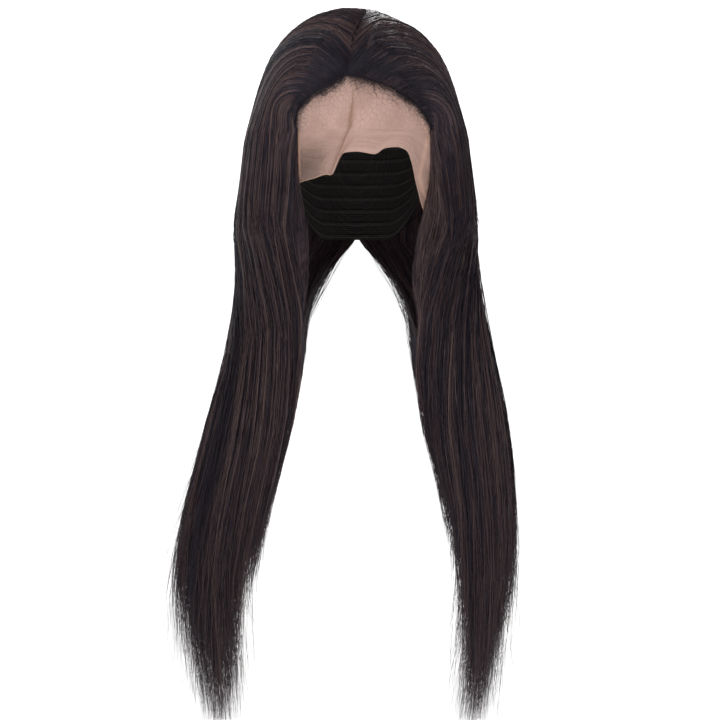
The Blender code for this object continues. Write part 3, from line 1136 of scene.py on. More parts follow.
GROWTHS = (
    Growth("long_strands_a", 520, 18, (-0.02, 0.04), (0.0, 0.07), 0.00033, 0.42, wander=0.9),
    Growth("long_strands_b", 520, 18, (-0.02, 0.04), (0.0, 0.07), 0.00033, 0.50, wander=0.9),
    Growth("crown_cover", 1150, 12, (-0.03, 0.04), (0.0, 0.06), 0.00030, 0.0, rise=0.05,
           wander=0.6, last=1.9),
    Growth("curtain_cover", 1750, 10, (0.8, 2.1), (0.0, 0.14), 0.00030, 0.50, rise=0.25,
           fan=1.5),
    Growth("inner_strands", 360, 10, (0.5, 1.7), (0.86, 1.0), 0.00029, 0.45, rise=0.05),
    Growth("tip_strands", 3000, 5, (2.10, 2.6), (0.0, 1.0), 0.00014, 0.40, rise=0.05,
           wander=2.0, fan=3.2, edge_share=0.0, gather=0.35, longer=0.09),
    Growth("outer_frays", 120, 9, (2.25, 2.5), (0.0, 0.3), 0.00012, 0.34, rise=0.05,
           wander=1.8, fan=1.8, edge_share=0.0, push=0.013, reach=(0.18, 0.66), gather=0.4),
    Growth("flyaways", 170, 12, (0.1, 2.3), (-0.04, 0.06), 0.00009, 0.55, rise=0.2,
           wander=3.0, fan=3.0, edge_share=0.1),
)


@dataclass(frozen=True)
class Drape:
    """How strands lie in their sheet, in metres where it is a length and else in shares.

    levels are places along the hair, and lengths are how far each lies from the root, as a share
    of the whole. taper is the share of the radius at each share of a strand in taper_at.
    """

    lock_pull: float = 0.42
    upper_gather: float = 0.16
    end_gather: float = 0.36
    wave: float = 0.0030
    wave_rate: float = 2.2
    dip: float = 0.025
    end_dip: float = 0.12
    root_depth: float = 0.95
    crossing_depth: float = 0.22
    ridge: float = 0.028
    clump_sway: Spot = (0.0034, 0.0028, 0.0)
    own_sway: Spot = (0.0032, 0.0028, 0.0)
    curl: Spot = (0.0016, 0.0014, 0.0)
    curl_rate: float = 9.0
    side_room: float = 0.012
    levels: tuple[float, ...] = (-0.2, 0.0, 1.0, 2.0, 3.1)
    lengths: tuple[float, ...] = (-0.11, 0.0, 0.55, 0.70, 1.033)
    thinning: float = 0.8
    clump_length: float = 0.03
    end_limits: tuple[float, float] = (0.3, 1.035)
    own_radius: tuple[float, float] = (0.75, 1.15)
    taper_at: tuple[float, ...] = (0.0, 0.06, 0.60, 0.88, 1.0)
    taper: tuple[float, ...] = (0.5, 1.0, 0.95, 0.5, 0.2)


@dataclass(frozen=True)
class TintRule:
    """How brown the strands are: by their own chance, by band, and by where they lie, with painted
    shade in the hollow by the hairline and a painted highlight on the arch over it.
    """

    own: float = 0.62
    band: float = 0.62
    base: float = -0.12
    # Painted shade: how much the front strands are darkened near their roots, in the hollow under
    # the arch.
    root_dark: float = 0.7
    arch_at: float = 0.455
    arch_width: float = 0.035
    end_warm: float = 0.02


@dataclass(frozen=True)
class CombedBack:
    """Strands from the parting straight back over the crown, with sunk roots and ends.

    They start and end between two pitches each, start later the further they lie from the
    middle, and spread as they go. Lengths are in metres, and reaches in shares of a strand.
    """

    stations: int = 14
    radius: float = 0.00027
    first_deg: tuple[float, float] = (58.0, 100.0)
    last_deg: tuple[float, float] = (140.0, 172.0)
    middle: float = 0.002
    later_deg: float = 700.0
    spread: float = 0.9
    parting: float = -0.004
    lift_reach: float = 0.09
    root_sunk: float = 0.006
    root_reach: float = 0.16
    end_sunk: float = 0.005
    end_start: float = 0.75
    uneven: tuple[float, float] = (-0.0006, 0.0008)
    tint: float = 0.8


@dataclass(frozen=True)
class HairlineHairs:
    """Short fine hairs on the lace in front of the long ones.

    Lengths and setbacks are in shares of the head's size. The radius, seat and height are in
    metres.
    """

    count: int = 650
    stations: int = 6
    radius: float = 0.00011
    crowding: float = 1.6
    aim_along: float = 0.12
    down: Spot = (0.0, -0.35, -1.0)
    setback: float = 0.055
    temple_setback: float = 0.35
    turn: float = 0.6
    length: tuple[float, float] = (0.05, 0.20)
    bend: float = 0.35
    seat: float = 0.0003
    height: tuple[float, float] = (0.0003, 0.0035)
    tint: float = 0.5


@dataclass
class Bundle:
    """The strands of one family while they are laid out, with a row for each strand."""

    kind: Growth
    across: Points
    start: Points
    end: Points
    depth: Points
    along: Points
    clump: Points
    phase: Points
    size: Points

    @property
    def free(self) -> Points:
        """How far below the nape each point lies."""
        return np.clip(self.along - 2, 0, None)

    @property
    def hold(self) -> Points:
        """How far each point has come into the lock's end."""
        return ease((self.free - 0.2) / 0.8)

    @property
    def growth(self) -> Points:
        """How freely each point may leave its line."""
        return 0.10 + 0.90 * ease((self.along - 0.3) / 1.3) + 1.2 * self.hold

    @property
    def level(self) -> Points:
        """Each strand's share across, at every point."""
        return np.broadcast_to(self.across[:, None], self.along.shape)

    def wave(self, first: int, rates: tuple[float, float]) -> Points:
        """Two slow waves along each strand.

        Args:
            first: The first of its two sizes and phases.
            rates: How fast each wave goes along the hair.

        Returns:
            Their sum at each point.
        """
        one = slice(first, first + 1)
        two = slice(first + 1, first + 2)
        return (
            self.size[:, one] * np.sin(rates[0] * self.along + self.phase[:, one])
            + 0.5 * self.size[:, two] * np.sin(rates[1] * self.along + self.phase[:, two])
        )


@dataclass(frozen=True)
class LockMass:
    """The mass of one lock under its strands, in shares of the hair's width and depth.

    levels are the shares of the mass at the widest level and at the nape. Its map is in metres,
    with the way from the root to the widest level, the nape and the ends.
    """

    half: HairHalf
    lock: int
    depth: float = 0.085
    tip_depth: float = 0.18
    inner_depth: float = 0.93
    overlap: float = 1.02
    narrowing: float = 0.86
    end_share: float = 0.77
    outermost_end_share: float = 0.60
    tip_start: float = 0.36
    root_depth: float = 0.85
    root_reach: float = 0.10
    side_gap: float = 0.006
    fill: float = 0.990
    outer_pinch: float = 0.30
    inner_pinch: float = 0.38
    levels: tuple[float, float] = (0.46, 0.60)
    map_width: float = 0.22
    map_ways: tuple[float, ...] = (0.0, 0.16, 0.25, 0.67)
    columns: int = 12
    rows: int = 48

    @property
    def edges(self) -> tuple[float, float]:
        """The shares across between which the lock lies."""
        count = len(self.half.ends)
        return self.lock / count, (self.lock + 1) / count

    @property
    def end(self) -> float:
        """Where the mass ends along the hair, short of its strands."""
        outermost = self.lock in (0, len(self.half.ends) - 1)
        share = self.outermost_end_share if outermost else self.end_share
        return 2 + self.half.ends[self.lock] * share

    def along(self, v: Points) -> Points:
        """Shares along the hair for shares along the mass."""
        return np.interp(v, [0.0, *self.levels, 1.0], [0.0, 1.0, 2.0, self.end])

    def chart(self, u: Points, v: Points) -> Points:
        """The place in the hair laid flat, in metres, so that streaks follow the strands.

        Args:
            u: Shares across the lock.
            v: Shares along the mass.

        Returns:
            A place for each share.
        """
        low, high = self.edges
        along = self.along(v)
        path = np.interp(along, [0, 1, 2, 3], self.map_ways)
        here = low + (high - low) * u
        level = here
        for _ in range(8):
            level = np.clip(level + here - self.half.drifted(level, along), 0, 1)
        return np.stack([level * self.map_width, path], axis=-1)

    def place(self, u: Points, v: Points, face: int) -> Points:
        """Points of the mass.

        Args:
            u: Shares across the lock.
            v: Shares along the mass.
            face: 0 for the outer face and 1 for the inner.

        Returns:
            A point for each place.
        """
        low, high = self.edges
        along = self.along(v)
        free = np.clip(along - 2, 0, None)
        tip = ease((free - self.tip_start) / (self.end - 2 - self.tip_start))
        middle = (low + high) / 2
        here = (high - low) * u + low - middle
        across = middle + here * (self.overlap - self.narrowing * tip)
        across = self.side_gap + self.fill * across
        sunk = self.root_depth * ease(1 - along / self.root_reach) * self.half.rooted(across)
        outer = self.depth + sunk + (self.tip_depth - self.depth) * ease(free / 0.5)
        if face == 0:
            depth = outer + self.outer_pinch * tip
        else:
            depth = self.inner_depth - self.inner_pinch * tip
        return self.half.sheet.point(across, along, depth) + self.half.stray(across, free)


@dataclass
class HairHalf:
    """One half of the hair: the mass of each section and the strands that cover it."""

    side: Side
    clumps: int = 64
    bands: int = 170
    ridges: int = 140
    seed: int = 7
    drape: Drape = Drape()
    tint: TintRule = TintRule()
    combed: CombedBack = CombedBack()
    short: HairlineHairs = HairlineHairs()

    def __post_init__(self) -> None:
        """Readies the sheet and the clumps."""
        self.own = SIDES[self.side]
        self.sheet = HairSheet(self.side)
        self.random = np.random.default_rng(self.seed + self.side.value)
        self.ends = np.array([row.ends for row in LOCKS[self.side]])
        self.strays = np.array([row.stray for row in LOCKS[self.side]])
        spots = (np.arange(self.clumps) + 0.5) / self.clumps
        self.clump_at = spots + self.random.normal(0, 0.25 / self.clumps, self.clumps)
        self.clump_stray = self.random.normal(0, 1, (self.clumps, 3))
        self.clump_length = self.random.normal(0, 1, self.clumps)
        self.band_tint = self.random.uniform(0, 1, self.bands)
        self.ridge_height = self.random.normal(0, 1, self.ridges)

    def lock_of(self, across: Points) -> Points:
        """The number of the lock that a strand belongs to."""
        return np.clip((across * len(self.ends)).astype(int), 0, len(self.ends) - 1)

    def clump_of(self, across: Points) -> Points:
        """The number of the clump that a strand belongs to."""
        return np.abs(across[:, None] - self.clump_at[None, :]).argmin(axis=1)

    def drifted(self, across: Points, along: Points) -> Points:
        """Where strands lie above the widest level, as they come down beside the hairline.

        Args:
            across: Their shares across at the widest level.
            along: How far along each point lies.

        Returns:
            Their shares across there.
        """
        front = self.sheet.hairline_share
        left = np.clip(1 - across / front, 0, 1)
        root = np.where(across < front, front * (1 - left ** 2.6), across)
        return across + (root - across) * (1 - ease(along / 1.1))

    @staticmethod
    def rooted(across: Points) -> Points:
        """1 where strands rise from the cap, and 0 where they cross the parting at full height."""
        return 1 - ease((across - 0.36) / 0.10)

    def narrowed(self, across: Points, free: Points) -> Points:
        """Shares across after a lock has drawn together below the split.

        Args:
            across: The shares where the hair is full.
            free: Shares of the free length.

        Returns:
            The new shares.
        """
        middle = (self.lock_of(across) + 0.5) / len(self.ends)
        keep = 1 - self.drape.lock_pull * ease((free - 0.45) / 0.5)
        return middle + (across - middle) * keep

    def stray(self, across: Points, free: Points) -> Points:
        """How far a lock's end hangs to the side, as vectors.

        Args:
            across: Shares from the temple to the back.
            free: Shares of the free length.

        Returns:
            A vector for each place.
        """
        share = np.clip((free - 0.58) / 0.3, 0.0, 1.2) ** 2
        way = np.zeros((*across.shape, 3))
        way[..., 0] = self.side.value * self.strays[self.lock_of(across)] * self.sheet.spread
        return way * share[..., None]

    def mass(self, section: Section, material: bpy.types.Material) -> bpy.types.Object:
        """The mass of one section under its strands, lock by lock.

        Args:
            section: Which section.
            material: Its finish.

        Returns:
            The piece.
        """
        merged = bmesh.new()
        first, last = section.value
        for number in range(first, last + 1):
            lock = LockMass(self, number)
            part = closed_sheet(lock.columns, lock.rows, lock.place, lock.chart)
            mesh = bpy.data.meshes.new("part")
            part.to_mesh(mesh)
            part.free()
            merged.from_mesh(mesh)
            bpy.data.meshes.remove(mesh)
        name = f"{section.name.lower()}_mass_{self.side.word}"
        return to_object(name, merged, material)

    def bundle(self, kind: Growth, across: Points, start: Points, end: Points,
               depth: Points) -> Bundle:
        """Sets out the stations of a family's strands, evenly by length.

        Args:
            kind: The family that they belong to.
            across: Each strand's share from the temple to the back.
            start: Where each starts along the hair.
            end: Where each ends along the hair.
            depth: The depth that each settles at.

        Returns:
            The strands, ready to be laid out.
        """
        levels, lengths = self.drape.levels, self.drape.lengths
        begin = np.interp(start, levels, lengths)
        finish = np.interp(end, levels, lengths)
        share = np.linspace(0, 1, kind.stations)[None, :]
        length = begin[:, None] + (finish - begin)[:, None] * share
        along = np.interp(length, lengths, levels)
        phase = self.random.uniform(0, 2 * np.pi, (len(across), 4))
        size = self.random.normal(0, 1, (len(across), 4)) * kind.wander
        return Bundle(kind, across, start, end, depth, along, self.clump_of(across), phase, size)

    def laid_across(self, bundle: Bundle) -> Points:
        """Shares across, with the strands gathered into clumps and locks.

        Args:
            bundle: The strands.

        Returns:
            A share for each point.
        """
        drape = self.drape
        clump = np.broadcast_to(self.clump_at[bundle.clump][:, None], bundle.along.shape)
        drawn = self.narrowed(bundle.level, bundle.free)
        centre = self.narrowed(clump, bundle.free)
        gather = drape.upper_gather * ease(bundle.along / 0.8) + drape.end_gather * bundle.hold
        new = centre + (drawn - centre) * (1 - gather * bundle.kind.gather)
        rate = drape.wave_rate
        new = new + bundle.wave(0, (rate, 2.3 * rate)) * drape.wave * bundle.growth
        return self.drifted(np.clip(new, 0, 1), bundle.along)

    def laid_deep(self, bundle: Bundle) -> Points:
        """Depths, from the roots up to where each strand settles, in uneven ridges.

        Args:
            bundle: The strands.

        Returns:
            A depth for each point.
        """
        drape = self.drape
        depth = bundle.depth[:, None]
        up = ease((bundle.along - bundle.start[:, None]) / bundle.kind.rise)
        sunk = (drape.root_depth - depth) * (1 - up)
        crossing = drape.crossing_depth * ease(-bundle.along / 0.03)
        crosses = (bundle.start < 0.05)[:, None]
        sunk = np.where(crosses, sunk * self.rooted(bundle.level) + crossing, sunk)
        ridge = self.ridge_height[(bundle.across * (self.ridges - 1)).astype(int)]
        settle = depth + sunk + drape.ridge * ridge[:, None] * ease(bundle.along / 0.12)
        rate = drape.wave_rate
        dip = np.abs(bundle.wave(2, (1.3 * rate, 2.9 * rate)))
        settle = settle + dip * drape.dip * bundle.growth + drape.end_dip * bundle.hold * depth
        return np.clip(settle, -0.05, 1.03)

    def loosened(self, bundle: Bundle) -> Points:
        """How far the free ends leave the sheet, by clump and one by one, as vectors.

        Args:
            bundle: The strands.

        Returns:
            A vector for each point.
        """
        drape = self.drape
        draw = self.random
        count = len(bundle.across)
        free = bundle.free
        loose = ease((free - 0.35) / 0.65)[..., None] ** 1.4
        own_start = np.maximum(bundle.start[:, None] - 2, 0.0)
        loose = loose * ease((free - own_start) / 0.25)[..., None]
        sway = self.clump_stray[bundle.clump][:, None, :] * np.array(drape.clump_sway)
        own = draw.normal(0, 1, (count, 1, 3)) * np.array(drape.own_sway)
        bend = draw.normal(0, 1, (count, 1, 3)) * np.array(drape.curl)
        curl = np.sin(free * drape.curl_rate + bundle.phase[:, 1:2])[..., None]
        return (sway + own * bundle.kind.fan + bend * curl * bundle.kind.wander) * loose

    def pushed(self, bundle: Bundle, points: Points) -> Points:
        """The points after the frays are pushed out, and all kept within the widest level.

        Args:
            bundle: The strands.
            points: Their points.

        Returns:
            The new points.
        """
        reach = (bundle.end - bundle.start)[:, None]
        done = np.clip((bundle.along - bundle.start[:, None]) / reach, 0, 1)
        push = bundle.kind.push * self.own.push_share * self.side.value
        far = push * self.random.normal(1.0, 0.4, (len(bundle.across), 1)) * done ** 1.7
        out = (points[..., 0] + far) * self.side.value
        over = np.clip(out - self.own.widest, 0, None)
        room = self.drape.side_room
        kept = np.minimum(out, self.own.widest) + room * np.tanh(over / room)
        points[..., 0] = kept * self.side.value
        return points

    def paths(self, bundle: Bundle) -> Points:
        """The points of the strands, as strands by stations by three.

        Args:
            bundle: The strands.

        Returns:
            The points.
        """
        points = self.sheet.point(self.laid_across(bundle), bundle.along, self.laid_deep(bundle))
        points = points + self.stray(bundle.level, bundle.free)
        return self.pushed(bundle, points + self.loosened(bundle))

    def thickness(self, radius: float, count: int, stations: int) -> Points:
        """Radii along the strands: thin at the root and finer towards the end.

        Args:
            radius: The usual radius.
            count: How many strands there are.
            stations: How many points each has.

        Returns:
            A radius for each point.
        """
        share = np.linspace(0, 1, stations)[None, :]
        own = self.random.uniform(*self.drape.own_radius, (count, 1)) * radius
        return own * np.interp(share, self.drape.taper_at, self.drape.taper)

    def tints(self, across: Points, stations: int) -> Points:
        """A tint for each strand: its own, and that of the thin band it lies in.

        Args:
            across: Shares from the temple to the back.
            stations: How many points each strand has.

        Returns:
            A tint for each point.
        """
        band = self.band_tint[(across * (self.bands - 1)).astype(int)]
        own = self.random.uniform(0, 1, len(across))
        tint = np.clip(self.tint.own * own + self.tint.band * band + self.tint.base, 0, 1)
        return np.repeat(tint[:, None], stations, axis=1)

    def placed_tints(self, bundle: Bundle) -> Points:
        """Tints with painted shade by the hairline and a painted brown highlight where the hair
        arches over it.

        Args:
            bundle: The strands.

        Returns:
            A tint for each point.
        """
        rule = self.tint
        tint = self.tints(bundle.across, bundle.kind.stations)
        share = np.linspace(0, 1, bundle.kind.stations)[None, :]
        away = share * (bundle.end - bundle.start)[:, None]
        from_root = np.clip(bundle.start, 0, None)[:, None] + away
        front = ease((0.43 - bundle.across) / 0.13)[:, None]
        # Painted shade: front strands are darker near their roots, standing in for the shadowed
        # hollow under the arch.
        tint = tint * (1 - rule.root_dark * front * (1 - ease((from_root - 0.05) / 0.4)))
        # Painted highlight: a lighter brown band where the hair arches over the hairline.
        arch = np.exp(-((bundle.across - rule.arch_at) / rule.arch_width) ** 2)[:, None]
        tint = tint + self.own.arch_shine * arch * (1 - ease((from_root - 0.35) / 0.5))
        return tint + rule.end_warm * ease((from_root - 2.3) / 0.5)

    def strand_ends(self, kind: Growth, across: Points) -> Points:
        """Where strands end: mostly near the end of their lock, thinning out above it.

        Args:
            kind: The family of strands.
            across: Shares from the temple to the back.

        Returns:
            Where each strand ends along the hair.
        """
        least, most = self.drape.end_limits
        short = self.random.power(self.drape.thinning, len(across))
        lock = self.ends[self.lock_of(across)]
        clump = self.drape.clump_length * self.clump_length[self.clump_of(across)]
        own = most + kind.longer + clump - kind.shorter * short
        return 2 + np.clip(lock * own, least, most)

    def grow(self, kind: Growth) -> Strands:
        """Grows a family of strands.

        Args:
            kind: The family.

        Returns:
            Its strands.
        """
        draw = self.random
        count = kind.count
        across = draw.uniform(*kind.reach, count)
        depth = kind.depth[0] + (kind.depth[1] - kind.depth[0]) * draw.uniform(0, 1, count)
        edge = draw.uniform(0, 1, count) < kind.edge_share
        across = np.where(edge, draw.uniform(0.0, 0.018, count), across)
        depth = np.where(edge, draw.uniform(0.0, 1.0, count), depth)
        start = kind.start[0] + (kind.start[1] - kind.start[0]) * draw.uniform(0, 1, count)
        end = np.maximum(self.strand_ends(kind, across), start + 0.12)
        if kind.last:
            end = kind.last - 0.5 * draw.uniform(0, 1, count)
        bundle = self.bundle(kind, across, start, end, depth)
        paths = self.paths(bundle)
        tints = self.placed_tints(bundle)
        return Strands(paths, self.thickness(kind.radius, count, kind.stations), tints)

    def combed_back(self) -> Strands:
        """Strands that run from the parting straight back over the crown.

        Returns:
            The strands.
        """
        draw = self.random
        comb = self.combed
        count = self.own.crown_strands
        share = np.linspace(0, 1, comb.stations)[None, :]
        beside = draw.uniform(*self.own.crown_reach, count)[:, None]
        later = np.abs(beside - comb.middle) * comb.later_deg
        first = draw.uniform(*comb.first_deg, count)[:, None] + later
        last = draw.uniform(*comb.last_deg, count)[:, None]
        pitch = np.radians(first + (last - first) * share)
        side_way = beside / (HEAD.width / 2) * (1 + comb.spread * share * share)
        line = unit(np.stack([
            np.broadcast_to(side_way, pitch.shape), -np.cos(pitch), np.sin(pitch),
        ], axis=-1))
        far = np.abs(beside - comb.parting) / comb.lift_reach
        full = self.sheet.lift(np.abs(line[..., 2]), far) + self.sheet.seat_offset
        root = comb.root_sunk * (1 - ease(share / comb.root_reach))
        end = comb.end_sunk * ease((share - comb.end_start) / (1 - comb.end_start))
        raised = full - (root + end) + draw.uniform(*comb.uneven, (count, 1))
        tints = self.tints(draw.uniform(0, 1, count), comb.stations) * comb.tint
        radii = self.thickness(comb.radius, count, comb.stations)
        return Strands(HEAD.over(line, raised), radii, tints)

    def hairline_growth(self) -> Strands:
        """Short fine hairs along the hairline, on the lace in front of the long ones.

        Returns:
            The strands.
        """
        draw = self.random
        hair = self.short
        count = hair.count
        end = self.sheet.hairline_share
        across = end * draw.power(hair.crowding, count)
        root = self.sheet.root_direction(across)
        way = unit(self.sheet.line(across, np.full(count, hair.aim_along)) - root)
        down = np.array(hair.down)
        near = hair.temple_setback + (1 - hair.temple_setback) * across / end
        back = np.abs(draw.normal(0, hair.setback, count))[:, None] * near[:, None]
        root = unit(root + back * unit(down - (down * root).sum(-1, keepdims=True) * root))
        side_way = np.cross(root, way)
        turn = draw.normal(0, hair.turn, count)[:, None]
        way = unit(way * np.cos(turn) + side_way * np.sin(turn))
        share = np.linspace(0, 1, hair.stations)[None, :, None]
        length = draw.uniform(*hair.length, count)[:, None, None]
        bend = draw.normal(0, hair.bend, count)[:, None, None]
        ahead = way[:, None, :] * length * share
        aside = side_way[:, None, :] * length * bend * share * share
        line = unit(root[:, None, :] + ahead + aside)
        low = HEAD.lace_wall + hair.seat
        raised = low + draw.uniform(*hair.height, (count, 1)) * ease(share[..., 0])
        tints = self.tints(across, hair.stations) * hair.tint
        radii = self.thickness(hair.radius, count, hair.stations)
        return Strands(HEAD.over(line, raised), radii, tints)

    def build(self, finish: HairFinish) -> list[bpy.types.Object]:
        """Makes every piece of this half.

        Args:
            finish: The hair's finish.

        Returns:
            The pieces.
        """
        body = finish.body_material()
        single = finish.strand_material()
        pieces = []
        for section in Section:
            pieces.append(self.mass(section, body))
            enter(pieces[-1], "hair", f"{section.name.lower()}_hair_{self.side.word}")
        grown = {kind.name: self.grow(kind) for kind in GROWTHS}
        grown["crown_strands"] = self.combed_back()
        grown["hairline_hairs"] = self.hairline_growth()
        tubes = StrandTubes()
        for name, strands in grown.items():
            pieces.append(tubes.build(f"{name}_{self.side.word}", strands, single))
            enter(pieces[-1], "hair")
        return pieces


# The lace and the cap


class LaceRow(NamedTuple):
    """The lower edge of the lace at an angle, as a drop in shares of the crown's height."""

    turn_deg: float
    drop: float


LACE_EDGE = (
    LaceRow(-82.0, 1.60),
    LaceRow(-70.0, 1.70),
    LaceRow(-56.0, 1.62),
    LaceRow(-42.0, 1.46),
    LaceRow(-30.0, 1.43),
    LaceRow(-20.0, 1.40),
    LaceRow(-16.5, 1.41),
    LaceRow(-11.5, 1.29),
    LaceRow(-8.0, 1.22),
    LaceRow(0.0, 1.21),
    LaceRow(11.0, 1.23),
    LaceRow(18.0, 1.175),
    LaceRow(27.0, 1.16),
    LaceRow(34.0, 1.19),
    LaceRow(38.0, 1.29),
    LaceRow(43.0, 1.46),
    LaceRow(57.0, 1.69),
    LaceRow(70.0, 1.73),
    LaceRow(82.0, 1.60),
)


class FoldRow(NamedTuple):
    """A turned fold of the lace between two points seen from the front, in metres."""

    x0: float
    z0: float
    x1: float
    z1: float
    width: float
    strength: float


FOLDS = (
    FoldRow(-0.0512, -0.103, -0.0506, -0.168, 0.0014, 1.0),
    FoldRow(0.0560, -0.090, 0.0715, -0.122, 0.0008, 0.7),
    FoldRow(0.0700, -0.118, 0.0725, -0.150, 0.0013, 0.6),
    FoldRow(0.0615, -0.108, 0.0545, -0.140, 0.0016, 0.5),
    FoldRow(0.0545, -0.140, 0.0575, -0.152, 0.0016, 0.5),
    FoldRow(0.0575, -0.152, 0.0660, -0.166, 0.0010, 0.6),
)


@dataclass
class LaceFront:
    """The sheer lace from ear to ear with its uncut lower edge."""

    reach: float = 82.0
    crease_top: float = 0.32
    crease_slant: float = -16.5
    crease_half_width: float = 2.2
    crease_height: float = 0.0028
    ripple: float = 0.0016
    ripple_rate: float = 7.5
    ripple_limits: tuple[float, float] = (36.0, 49.0)
    wall: float = 0.0003
    knot_reach: float = 0.017
    hem_share: float = 0.012
    map_length: float = 0.27
    cut: tuple[float, float] = (0.26, 0.21)
    columns: int = 144
    rows: int = 86

    def chart(self, u: Points, v: Points) -> Points:
        """The place in the flat lace, in metres."""
        turn = np.radians((2 * u - 1) * self.reach)
        return np.stack([turn * HEAD.width / 2, v * self.map_length], axis=-1)

    def place(self, u: Points, v: Points, face: int) -> Points:
        """Points of the lace.

        Args:
            u: Shares from the left ear to the right.
            v: Shares from the seam to the lower edge.
            face: 0 for the outer face and 1 for the inner.

        Returns:
            A point for each place.
        """
        turn = (2 * u - 1) * self.reach
        edge = Curve([row.turn_deg for row in LACE_EDGE], [row.drop for row in LACE_EDGE])
        spread = ease(1 - np.abs(turn) / 60)
        low = (edge(turn + self.crease_slant * spread) - 1) * HEAD.crown
        pitch = np.where(v < 0.5, HEAD.seam_pitch * (1 - 2 * v), 0.0)
        drop = np.where(v < 0.5, 0.0, low * (2 * v - 1))
        reach = np.clip((v - self.crease_top) / (1 - self.crease_top), 0, None)
        slant = self.crease_slant * reach * spread
        ridge = np.clip(1 - np.abs(turn) / self.crease_half_width, 0, None)
        ridge = ridge * self.crease_height * ease(reach * 2)
        limit = np.where(turn < 0, *self.ripple_limits)
        free = ease((v - 0.5) * 2) * ease((limit - np.abs(turn + slant)) / 12)
        ripple = self.ripple * free * (1 + np.sin(np.radians(turn * self.ripple_rate)))
        offset = HEAD.lace_wall * 0.6 + ridge + ripple - self.wall * face
        return HEAD.point(turn + slant, pitch, drop, offset)

    @staticmethod
    def folds(spots: Points) -> Points:
        """How far each point lies on a turned fold, from 0 to 1.

        Args:
            spots: The points.

        Returns:
            A share for each point.
        """
        total = np.zeros(len(spots))
        for row in FOLDS:
            first = np.array([row.x0, row.z0])
            way = np.array([row.x1, row.z1]) - first
            gap = spots[:, [0, 2]] - first
            share = np.clip((gap @ way) / (way @ way), 0, 1)
            far = np.linalg.norm(gap - share[:, None] * way, axis=-1)
            total = np.maximum(total, row.strength * ease(1 - far / (row.width * 2)))
        return total * (spots[:, 1] < 0.02)

    def knotted(self, spots: Points, halves: list[HairHalf]) -> Points:
        """How near each point is to the hair that is knotted into the lace, from 0 to 1.

        Args:
            spots: The points.
            halves: The two halves of the hair.

        Returns:
            A share for each point.
        """
        roots = []
        for half in halves:
            way = half.sheet.root_direction(np.linspace(0.0, half.sheet.hairline_share, 60))
            roots.append(HEAD.over(way, np.full(len(way), HEAD.lace_wall)))
        line = np.concatenate(roots)
        far = np.linalg.norm(spots[:, None, :] - line[None, :, :], axis=-1)
        below = np.where(spots[:, 2] < line[far.argmin(axis=1), 2], 1.0, 0.0)
        return 1 - np.clip(far.min(axis=1) / self.knot_reach, 0, 1) * below

    def creased(self, turn: Points, along: Points) -> Points:
        """How far each point lies on the crease down the middle, which is widest half way."""
        wide = 0.55 + 1.7 * ease((along - 0.40) / 0.09) * ease((0.60 - along) / 0.12)
        return ease(1.25 - np.abs(turn) / wide) * ease((along - self.crease_top - 0.05) / 0.06)

    def build(self, finish: LaceFinish, halves: list[HairHalf]) -> bpy.types.Object:
        """Makes the lace.

        Args:
            finish: Its finish.
            halves: The two halves of the hair, whose roots it carries.

        Returns:
            The piece.
        """
        bm = closed_sheet(self.columns, self.rows, self.place, self.chart)
        piece = to_object("lace_sheet", bm, finish.material(), 80.0)
        mesh = piece.data
        spots = np.array([tuple(vertex.co) for vertex in mesh.vertices])
        turn = np.zeros(len(spots), np.float32)
        along = np.zeros(len(spots), np.float32)
        mesh.attributes["share_u"].data.foreach_get("value", turn)
        mesh.attributes["share_v"].data.foreach_get("value", along)
        turn = (2 * turn - 1) * self.reach
        # Painted shade: beside and low mark the lower lace at the sides, mostly on the left, which
        # is made darker.
        beside = ease((10 - turn) / 30) + 0.4 * ease((turn - 30) / 15)
        hem = np.clip(1 - (1 - along) / self.hem_share, 0, 1) * 0.6
        carry(mesh, "hairline", self.knotted(spots, halves))
        carry(mesh, "crease", self.creased(turn, along))
        carry(mesh, "low", ease((along - 0.48) / 0.34) * beside)
        carry(mesh, "fold", np.clip(np.maximum(self.folds(spots), hem), 0, 1))
        enter(piece, "lace", "lace_front")
        return piece


@dataclass
class WigCap:
    """The net cap behind the lace."""

    reach: float = 82.0
    ear_drop: float = 0.110
    level_share: float = 0.6
    nape_turn: float = 25.0
    map_size: tuple[float, float] = (0.24, 0.26)
    cut: tuple[float, float] = (0.25, 0.21)
    columns: int = 72
    rows: int = 64

    def chart(self, u: Points, v: Points) -> Points:
        """The place in the flat cap, in metres."""
        return np.stack([u * self.map_size[0], v * self.map_size[1]], axis=-1)

    def place(self, u: Points, v: Points, face: int) -> Points:
        """Points of the cap.

        Args:
            u: Shares from the left ear to the right.
            v: Shares from the seam to the lower edge.
            face: 0 for the outer face and 1 for the inner.

        Returns:
            A point for each place.
        """
        turn = (2 * u - 1) * self.reach
        first = HEAD.seam_pitch + 0.25 / np.cos(np.radians(turn))
        pitch = first + (180 - first) * np.clip(v / self.level_share, 0, 1)
        ear = self.ear_drop - HEAD.crown
        nape = HEAD.nape - HEAD.crown
        aside = ease((np.abs(turn) - self.nape_turn) / (self.reach - self.nape_turn))
        low = nape + (ear - nape) * aside
        drop = low * np.clip((v - self.level_share) / (1 - self.level_share), 0, 1)
        return HEAD.point(turn, pitch, drop, HEAD.cap_wall * (1 - face))

    def build(self, finish: NetFinish) -> bpy.types.Object:
        """Makes the cap.

        Args:
            finish: Its finish.

        Returns:
            The piece.
        """
        bm = closed_sheet(self.columns, self.rows, self.place, self.chart)
        piece = to_object("cap_net", bm, finish.material(), 70.0)
        enter(piece, "net", "wig_cap")
        return piece


# Light and camera


class LampRow(NamedTuple):
    """A square soft light: where it stands, its side, its power in watts and its aim."""

    name: str
    place: Spot
    size: float
    power: float
    aim: Spot


